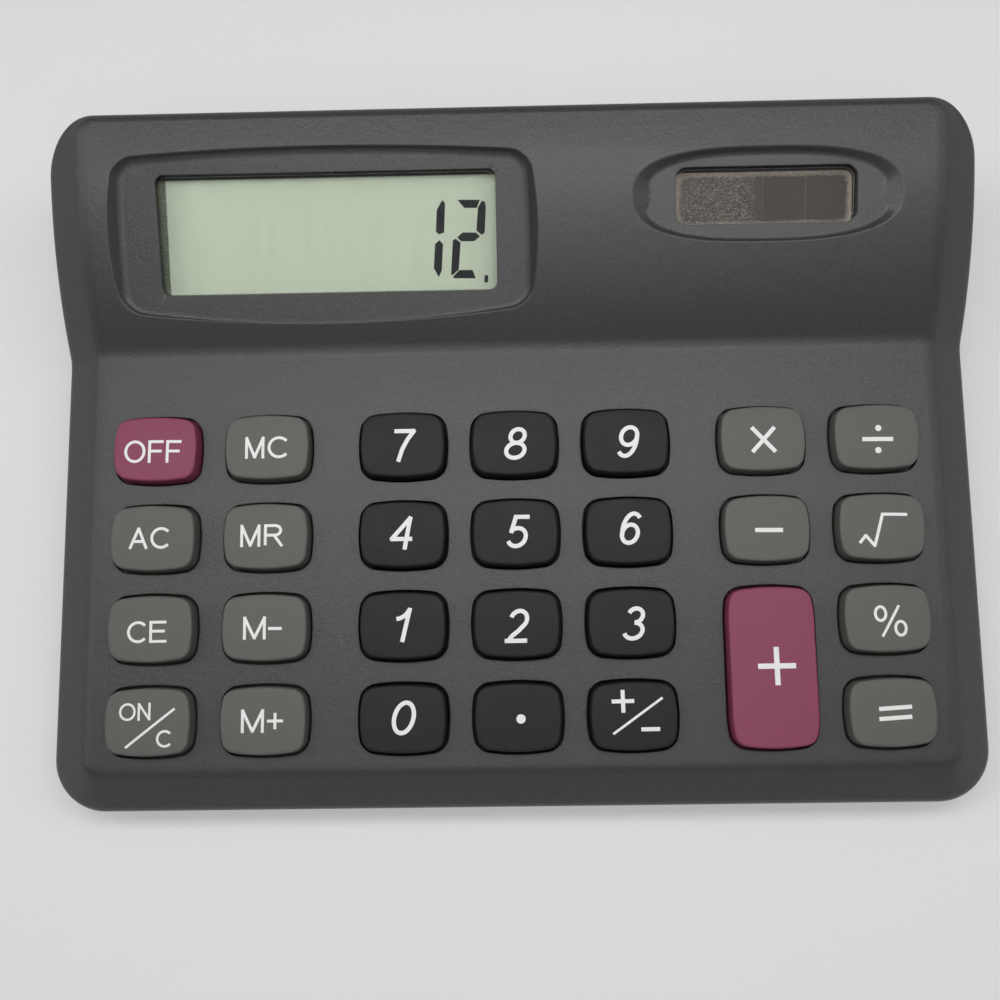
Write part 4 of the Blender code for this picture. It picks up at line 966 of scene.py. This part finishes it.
def makeMat():
    halfY = (mat["rear"] - mat["front"]) / 2
    plan = roundedRectangle(mat["halfX"], halfY, mat["corner"], 6)
    outline = [(a, b + mat["front"] + halfY) for a, b in plan]
    holes = [circle(mat["base"] - mat["wall"], 32, x, y) for x, y, *_ in keyPlaces.values()]
    holes += [circle(mat["bossRadius"], 24, side * mat["bossX"], y) for side in (-1, 1) for y in mat["bossY"]]
    bm = bmesh.new()
    top, low = mat["top"], mat["low"]
    addPlate(bm, outline, holes, [], lambda a, b: Vector((a, b, top)))
    addPlate(bm, outline, holes, [], lambda a, b: Vector((a, b, low)), flip=True)
    addRings(bm, [atHeight(outline, low), atHeight(outline, top)])
    for hole in holes:
        addRings(bm, [atHeight(hole, top), atHeight(hole, low)])
    sheet = makePiece("keypad_mat_sheet", bm, finishes["matRubber"], deckSpace)
    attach(sheet, "case")
    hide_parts("keypad_mat")


def makeDome(name, x, y):
    base, crown, wall, top, peak = mat["base"], mat["crown"], mat["wall"], mat["top"], mat["domeTop"]
    section = [(crown - wall, peak - 2 * wall), (base - wall, top), (base, top)]
    section.append((base + mat["foot"][0], top + mat["foot"][1]))
    section += [(crown + out, peak + up) for out, up in mat["shoulder"]]
    bm = bmesh.new()
    addTurned(bm, section, 32, x, y)
    dome = makePiece(name + "_dome", bm, finishes["matRubber"], deckSpace, sharp=60, weighted=False)
    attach(dome, "case")
    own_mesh(dome)


makeMat()
for name, (x, y, *_) in keyPlaces.items():
    makeDome("key_" + name, x, y)
print("keypad mat made")

# Underside: lower case with its screw wells, battery well and door channel, cut from one closed shell
under = {
    "floorLow": 1.2, "floorTop": 3, "edge": 1.44, "lipOuter": 2.1, "lipInner": 2.9, "lipHeight": 1.2,
    "ledgeTop": -7.33, "ledgeLow": -8.47, "post": 3, "seat": -7.95, "bore": 1.05, "headBore": 2.1,
    "screws": {"front_left": (-45, 5.14), "front_right": (45, 5.14), "rear_left": (-67, 101.995),
               "rear_right": (67, 101.995), "middle": (12, 79.1)},
    "feet": {"front_left": (-60, 17), "front_right": (60, 17), "rear_left": (-60, 91.5645),
             "rear_right": (60, 91.5645)},
    "footRadius": 5, "footRecess": 0.9, "rearEdge": 110.0645,
    "batteryX": 33, "batteryY": 91.7709, "wellRadius": 6.8, "wellTop": 10.2, "wellWall": 1.2,
    "channelTop": 3.3, "doorFront": 83.9709, "doorHalf": 10, "tongue": 1, "doorPlate": 1, "doorTop": 3,
    "gap": 0.3, "padWall": 2, "contactX": (6.15, -4.4), "slotX": 0.45, "slotY": 1.8, "overrun": 4,
}


def overDeck(height, y):  # where a height over the table lies over the deck
    tilt = radians(case["tilt"])
    return (height - case["frontHeight"] - y * sin(tilt)) / cos(tilt)


def floorRing(inset, height):  # a ring of the lower case at a height over the table
    return [deckToTable @ Vector((x, y, overDeck(height, y))) for x, y, _ in planOutline(inset, inset, inset)]


def newSolid(bm):
    bmesh.ops.recalc_face_normals(bm, faces=bm.faces)
    mesh = bpy.data.meshes.new("solid")
    bm.to_mesh(mesh)
    bm.free()
    obj = bpy.data.objects.new("solid", mesh)
    bpy.context.scene.collection.objects.link(obj)
    return obj


def addBox(bm, low, high):
    (left, front, foot), (right, rear, top) = low, high
    addPrism(bm, [(left, front), (right, front), (right, rear), (left, rear)], foot, top)


def cutSolid(body, steps):  # applies unions and differences, and gives back the finished mesh data
    tools = []
    for operation, bm in steps:
        tool = newSolid(bm)
        tools.append(tool)
        modifier = body.modifiers.new("cut", 'BOOLEAN')
        modifier.object = tool
        modifier.operation = operation
        modifier.solver = 'EXACT'
    graph = bpy.context.evaluated_depsgraph_get()
    finished = bmesh.new()
    finished.from_mesh(body.evaluated_get(graph).to_mesh())
    for obj in [body] + tools:
        bpy.data.objects.remove(obj, do_unlink=True)
    return finished


def makeLowerCase():
    rim, wall, gap = case["lowerRim"], case["wall"], under["gap"]
    low, over, lip = under["floorLow"], under["overrun"], rim + under["lipHeight"]
    levels = ((0, rim), (under["lipOuter"], rim), (under["lipOuter"], lip), (under["lipInner"], lip),
              (under["lipInner"], under["ledgeTop"]), (wall, under["ledgeLow"]))
    rings = [floorRing(inset, low + lift) for inset, lift in quarter(under["edge"], 6)]
    rings += [[deckToTable @ Vector(p) for p in levelRing(*level)] for level in levels]
    bm = bmesh.new()
    rows = addRings(bm, rings + [floorRing(wall, under["floorTop"])])
    for row in rows[0], rows[-1]:
        count = len(row)
        for i in range(count // 2 - 1):
            bm.faces.new((row[i], row[i + 1], row[count - 2 - i], row[count - 1 - i]))
    body = newSolid(bm)
    posts, pad, well, recesses, bores, wellBore, slots = (bmesh.new() for _ in range(7))
    for px, py in under["screws"].values():
        addPrism(posts, circle(under["post"], 32, px, py), overDeck(low + wall / 2, py), rim, deckToTable)
        addPrism(recesses, circle(under["headBore"], 32, px, py), -24, under["seat"], deckToTable)
        addPrism(bores, circle(under["bore"], 24, px, py), under["seat"] - gap, rim + over, deckToTable)
    for px, py in under["feet"].values():
        foot = circle(under["footRadius"] + gap, 48, px, py)
        addPrism(recesses, foot, low - over, low + under["footRecess"])
    x, y, radius = under["batteryX"], under["batteryY"], under["wellRadius"]
    thick, channelTop, wellTop = under["wellWall"], under["channelTop"], under["wellTop"]
    padX, padWall = under["doorHalf"] + under["tongue"] + gap, under["padWall"]
    doorFront = under["doorFront"] - gap
    addBox(pad, (x - padX - padWall, doorFront - padWall, low + wall / 2),
           (x + padX + padWall, under["rearEdge"] - wall / 2, channelTop + thick))
    addPrism(well, circle(radius + thick, 48, x, y), channelTop + thick / 2, wellTop + thick)
    addPrism(wellBore, circle(radius, 48, x, y), channelTop - 0.1, wellTop)
    for place in under["contactX"]:
        addBox(slots, (x + place - under["slotX"], y - under["slotY"], wellTop - 0.1),
               (x + place + under["slotX"], y + under["slotY"], wellTop + thick + over))
    wide, step, top = padX - under["tongue"], low + under["doorPlate"] - gap, under["doorTop"] + gap
    profile = [(-wide, low - over), (wide, low - over), (wide, step), (padX, step), (padX, top), (-padX, top),
               (-padX, step), (-wide, step)]
    addSolid(recesses, [[(x + a, end, b) for a, b in profile] for end in (doorFront, case["length"] + over)])
    steps = [('UNION', bm) for bm in (posts, pad, well)]
    steps += [('DIFFERENCE', bm) for bm in (recesses, bores, wellBore, slots)]
    finished = cutSolid(body, steps)
    shell = makePiece("lower_case_shell", finished, finishes["basePlastic"], tableSpace, sharp=32)
    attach(shell, "case")
    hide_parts("lower_case")
    return shell


lowerCase = makeLowerCase()
print("lower case:", len(lowerCase.data.vertices), "points")

door = {"soft": 0.25, "ribs": 6, "ribPitch": 1.5, "ribFirst": 2.4, "ribReach": 6, "ribOval": 3.6,
        "ribHigh": 0.3, "ribLow": 0.4, "ribTop": 0.18, "arrowAt": 14.5, "arrowHalf": 2.2, "arrowLong": 3.2,
        "arrowHigh": 0.2, "sunk": 0.05}


def makeDoor():
    half, tongue, soft = under["doorHalf"], under["doorHalf"] + under["tongue"], door["soft"]
    low, step, top = under["floorLow"], under["floorLow"] + under["doorPlate"], under["doorTop"]
    front, rear = under["doorFront"], under["rearEdge"]
    profile = [(-half + soft, low), (half - soft, low), (half, low + soft), (half, step), (tongue, step),
               (tongue, top), (-tongue, top), (-tongue, step), (-half, step), (-half, low + soft)]
    x = under["batteryX"]
    bm = bmesh.new()
    addSolid(bm, [[(x + a, end, b) for a, b in profile] for end in (front, rear)])
    for i in range(door["ribs"]):  # thumb ribs, each a small ridge across the door
        y = front + door["ribFirst"] + i * door["ribPitch"]
        reach = door["ribReach"] * sqrt(1 - ((i - (door["ribs"] - 1) / 2) / door["ribOval"]) ** 2)
        foot, head = low + door["sunk"], low - door["ribHigh"]
        section = [(y - door["ribLow"], foot), (y + door["ribLow"], foot), (y + door["ribTop"], head),
                   (y - door["ribTop"], head)]
        addSolid(bm, [[(x + side * reach, a, b) for a, b in section] for side in (-1, 1)])
    y, half = front + door["arrowAt"], door["arrowHalf"]
    arrow = [(x - half, y), (x + half, y), (x, y + door["arrowLong"])]
    addPrism(bm, arrow, low - door["arrowHigh"], low + door["sunk"])
    bmesh.ops.recalc_face_normals(bm, faces=bm.faces)
    piece = makePiece("battery_door_plate", bm, finishes["basePlastic"], tableSpace, sharp=30, weighted=False)
    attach(piece, "door")
    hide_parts("battery_door")


makeDoor()

footForm = {"edge": 0.35, "soft": 0.15, "dish": [(0.6, 0.12), (2.6, 0.12), (2.9, 0)]}  # dish: radius, height


def makeFoot(name, x, y):
    radius, edge, soft = under["footRadius"], footForm["edge"], footForm["soft"]
    top = under["floorLow"] + under["footRecess"] - under["gap"]
    bend = [(radius - edge * (1 - sin(a)), edge * (1 - cos(a))) for a in (0, 0.5, 1, pi / 2)]
    section = footForm["dish"] + bend + [(radius, top - soft), (radius - soft, top)]
    bm = bmesh.new()
    addTurned(bm, section, 48, x, y)
    foot = makePiece(name + "_pad", bm, finishes["footRubber"], tableSpace, sharp=60)
    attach(foot, "case")
    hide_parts(name)


for name, (x, y) in under["feet"].items():
    makeFoot("foot_" + name, x, y)

screw = {"head": 1.8, "headHigh": 1.1, "shank": 0.9, "reach": 4.3, "thread": 0.12, "turns": 8, "threaded": 3,
         "threadFirst": 0.3, "threadHalf": 0.18, "tip": 0.9, "arm": 1.17, "slot": 0.25, "slotDeep": 0.6,
         "dome": ((-0.81, -0.02), (-0.5, 0.06), (-0.18, 0.22), (0, 0.5))}  # from the head's rim and top


def makeScrew(name, x, y):
    high, head, shank = screw["headHigh"], screw["head"], screw["shank"]
    core = shank - screw["thread"]
    section = [(head + out, down - high) for out, down in screw["dome"]] + [(head, 0), (shank, 0)]
    for i in range(screw["turns"]):
        z = screw["threadFirst"] + i * screw["threaded"] / screw["turns"]
        section += [(core, z), (shank, z + screw["threadHalf"])]
    section += [(core, screw["reach"] - screw["tip"]), (shank * 0.25, screw["reach"])]
    bm = bmesh.new()
    addTurned(bm, section, 32)
    arm, side = screw["arm"], screw["slot"]
    outline = [(side, side), (side, arm), (-side, arm), (-side, side), (-arm, side), (-arm, -side),
               (-side, -side), (-side, -arm), (side, -arm), (side, -side), (arm, -side), (arm, side)]
    recess = bmesh.new()
    addPrism(recess, outline, -high - 1, screw["slotDeep"] - high)
    finished = cutSolid(newSolid(bm), [('DIFFERENCE', recess)])
    place = deckSpace @ Matrix.Translation((x, y, under["seat"] - under["gap"] / 2))
    piece = makePiece(name + "_steel", finished, finishes["platedSteel"], place)
    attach(piece, "case")
    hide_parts(name)


for name, (x, y) in under["screws"].items():
    makeScrew("case_screw_" + name, x, y)
print("underside made")

# Pieces inside the case keep their solids and get their finishes
carried = {
    "boardLaminate": ["main_board"], "chipEpoxy": ["chip_cover"], "capacitorSleeve": ["capacitor"],
    "framePlastic": ["display_frame"], "ribbonFilm": ["display_ribbon"], "redLead": ["solar_lead_positive"],
    "blueLead": ["solar_lead_negative"], "orangeLead": ["battery_lead_positive"],
    "blackLead": ["battery_lead_negative"],
    "platedSteel": ["battery_cell", "battery_contact_positive", "battery_contact_negative",
                    "board_screw_front_left", "board_screw_front_right", "board_screw_rear_left",
                    "board_screw_rear_right"],
}
for finish, names in carried.items():
    for name in names:
        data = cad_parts[name].data
        data.materials.clear()
        data.materials.append(finishes[finish])

# Camera, floor and lamps
view = {"x": 0.98965, "y": 20.031, "height": 191.69, "lean": 8.5431, "roll": 1.009, "turn": -0.9432,
        "lens": 43.2, "sensor": 36}


def makeCamera():
    data = bpy.data.cameras.new("camera")
    data.lens = view["lens"]
    data.sensor_width = view["sensor"]
    data.clip_start = 0.01
    camera = bpy.data.objects.new("camera", data)
    bpy.context.scene.collection.objects.link(camera)
    turn = (Matrix.Rotation(radians(case["tilt"] + view["lean"]), 4, 'X')
            @ Matrix.Rotation(radians(view["roll"]), 4, 'Y')
            @ Matrix.Rotation(radians(view["turn"]), 4, 'Z'))
    spot = deckSpace @ Vector((view["x"], view["y"], view["height"]))
    camera.matrix_world = Matrix.Translation(spot) @ turn
    bpy.context.scene.camera = camera


makeCamera()

backdrop = {"color": (243, 244, 243), "paper": (230, 231, 230), "share": 0.35, "flat": 1.6, "bend": 0.8}


def makeFloor():
    flat, bend = backdrop["flat"], backdrop["bend"]
    angles = [pi / 2 * i / 12 for i in range(13)]
    sweep = [(flat + bend * sin(a), bend - bend * cos(a)) for a in angles]
    bm = bmesh.new()
    rows = addRings(bm, [atHeight(circle(r, 96), z) for r, z in sweep + [(flat + bend, 2 * bend)]])
    bm.faces.new(rows[0])
    look = {"color": backdrop["color"], "roughness": 0.75, "specular": 0.2}
    material, tree, shader = newFinish("floorPaper", look)
    feed(tree, addTint(tree, addNoise(tree, 9, 3), look["color"], 0.97, 1.03), shader, 'Base Color')
    path = tree.nodes.new('ShaderNodeLightPath').outputs
    seen = addMath(tree, 'MAXIMUM', path['Is Glossy Ray'], path['Is Transmission Ray'])
    seen = addMath(tree, 'MAXIMUM', path['Is Camera Ray'], seen)
    paper = tree.nodes.new('ShaderNodeEmission')
    feed(tree, shade(backdrop["paper"]), paper, 'Color')
    share = addMath(tree, 'MULTIPLY', seen, backdrop["share"])
    mixShaders(tree, share, shader.outputs['BSDF'], paper.outputs['Emission'])
    floor = makePiece("floor", bm, material, weighted=False)


makeFloor()


def addLamp(name, place, target, size, power, spared=()):
    data = bpy.data.lights.new(name, 'AREA')
    data.shape = 'RECTANGLE'
    data.size, data.size_y = size
    data.energy = power
    lamp = bpy.data.objects.new(name, data)
    bpy.context.scene.collection.objects.link(lamp)
    lamp.location = place
    lamp.rotation_euler = (Vector(target) - Vector(place)).to_track_quat('-Z', 'Y').to_euler()
    lamp.visible_camera = False
    if spared:  # pieces that this lamp leaves out, as a window would show it as a veil
        receivers = bpy.data.collections.new(name + "Spared")
        lamp.light_linking.receiver_collection = receivers
        for piece in spared:
            receivers.objects.link(bpy.data.objects[piece])
        for entry in receivers.collection_objects:
            entry.light_linking.link_state = 'EXCLUDE'


lamps = {
    "overhead": {"place": (0, 0.035, 0.265), "target": (0, 0.035, 0), "size": (0.34, 0.078), "power": 0.22},
    "overheadRear": {"place": (0, 0.036, 0.27), "target": (0, 0.036, 0), "size": (0.34, 0.06), "power": 0.1},
    "frontBox": {"place": (0, -0.215, 0.45), "target": (0, 0.03, 0), "size": (0.4, 0.17), "power": 0.31,
                 "spared": ("display_window_clear", "solar_window_clear", "display_panel", "solar_panel")},
    "leftBox": {"place": (-0.75, 0.1, 0.65), "target": (0, 0, 0), "size": (0.5, 0.5), "power": 1.35},
    "rightBox": {"place": (0.75, 0.1, 0.65), "target": (0, 0, 0), "size": (0.5, 0.5), "power": 0.85},
}
for name, lamp in lamps.items():
    addLamp(name, **lamp)

world = bpy.data.worlds.new("room")
bpy.context.scene.world = world
world.use_nodes = True
world.node_tree.nodes['Background'].inputs['Color'].default_value = (1, 1, 1, 1)
world.node_tree.nodes['Background'].inputs['Strength'].default_value = 0.2

bpy.context.scene.view_settings.view_transform = 'Standard'
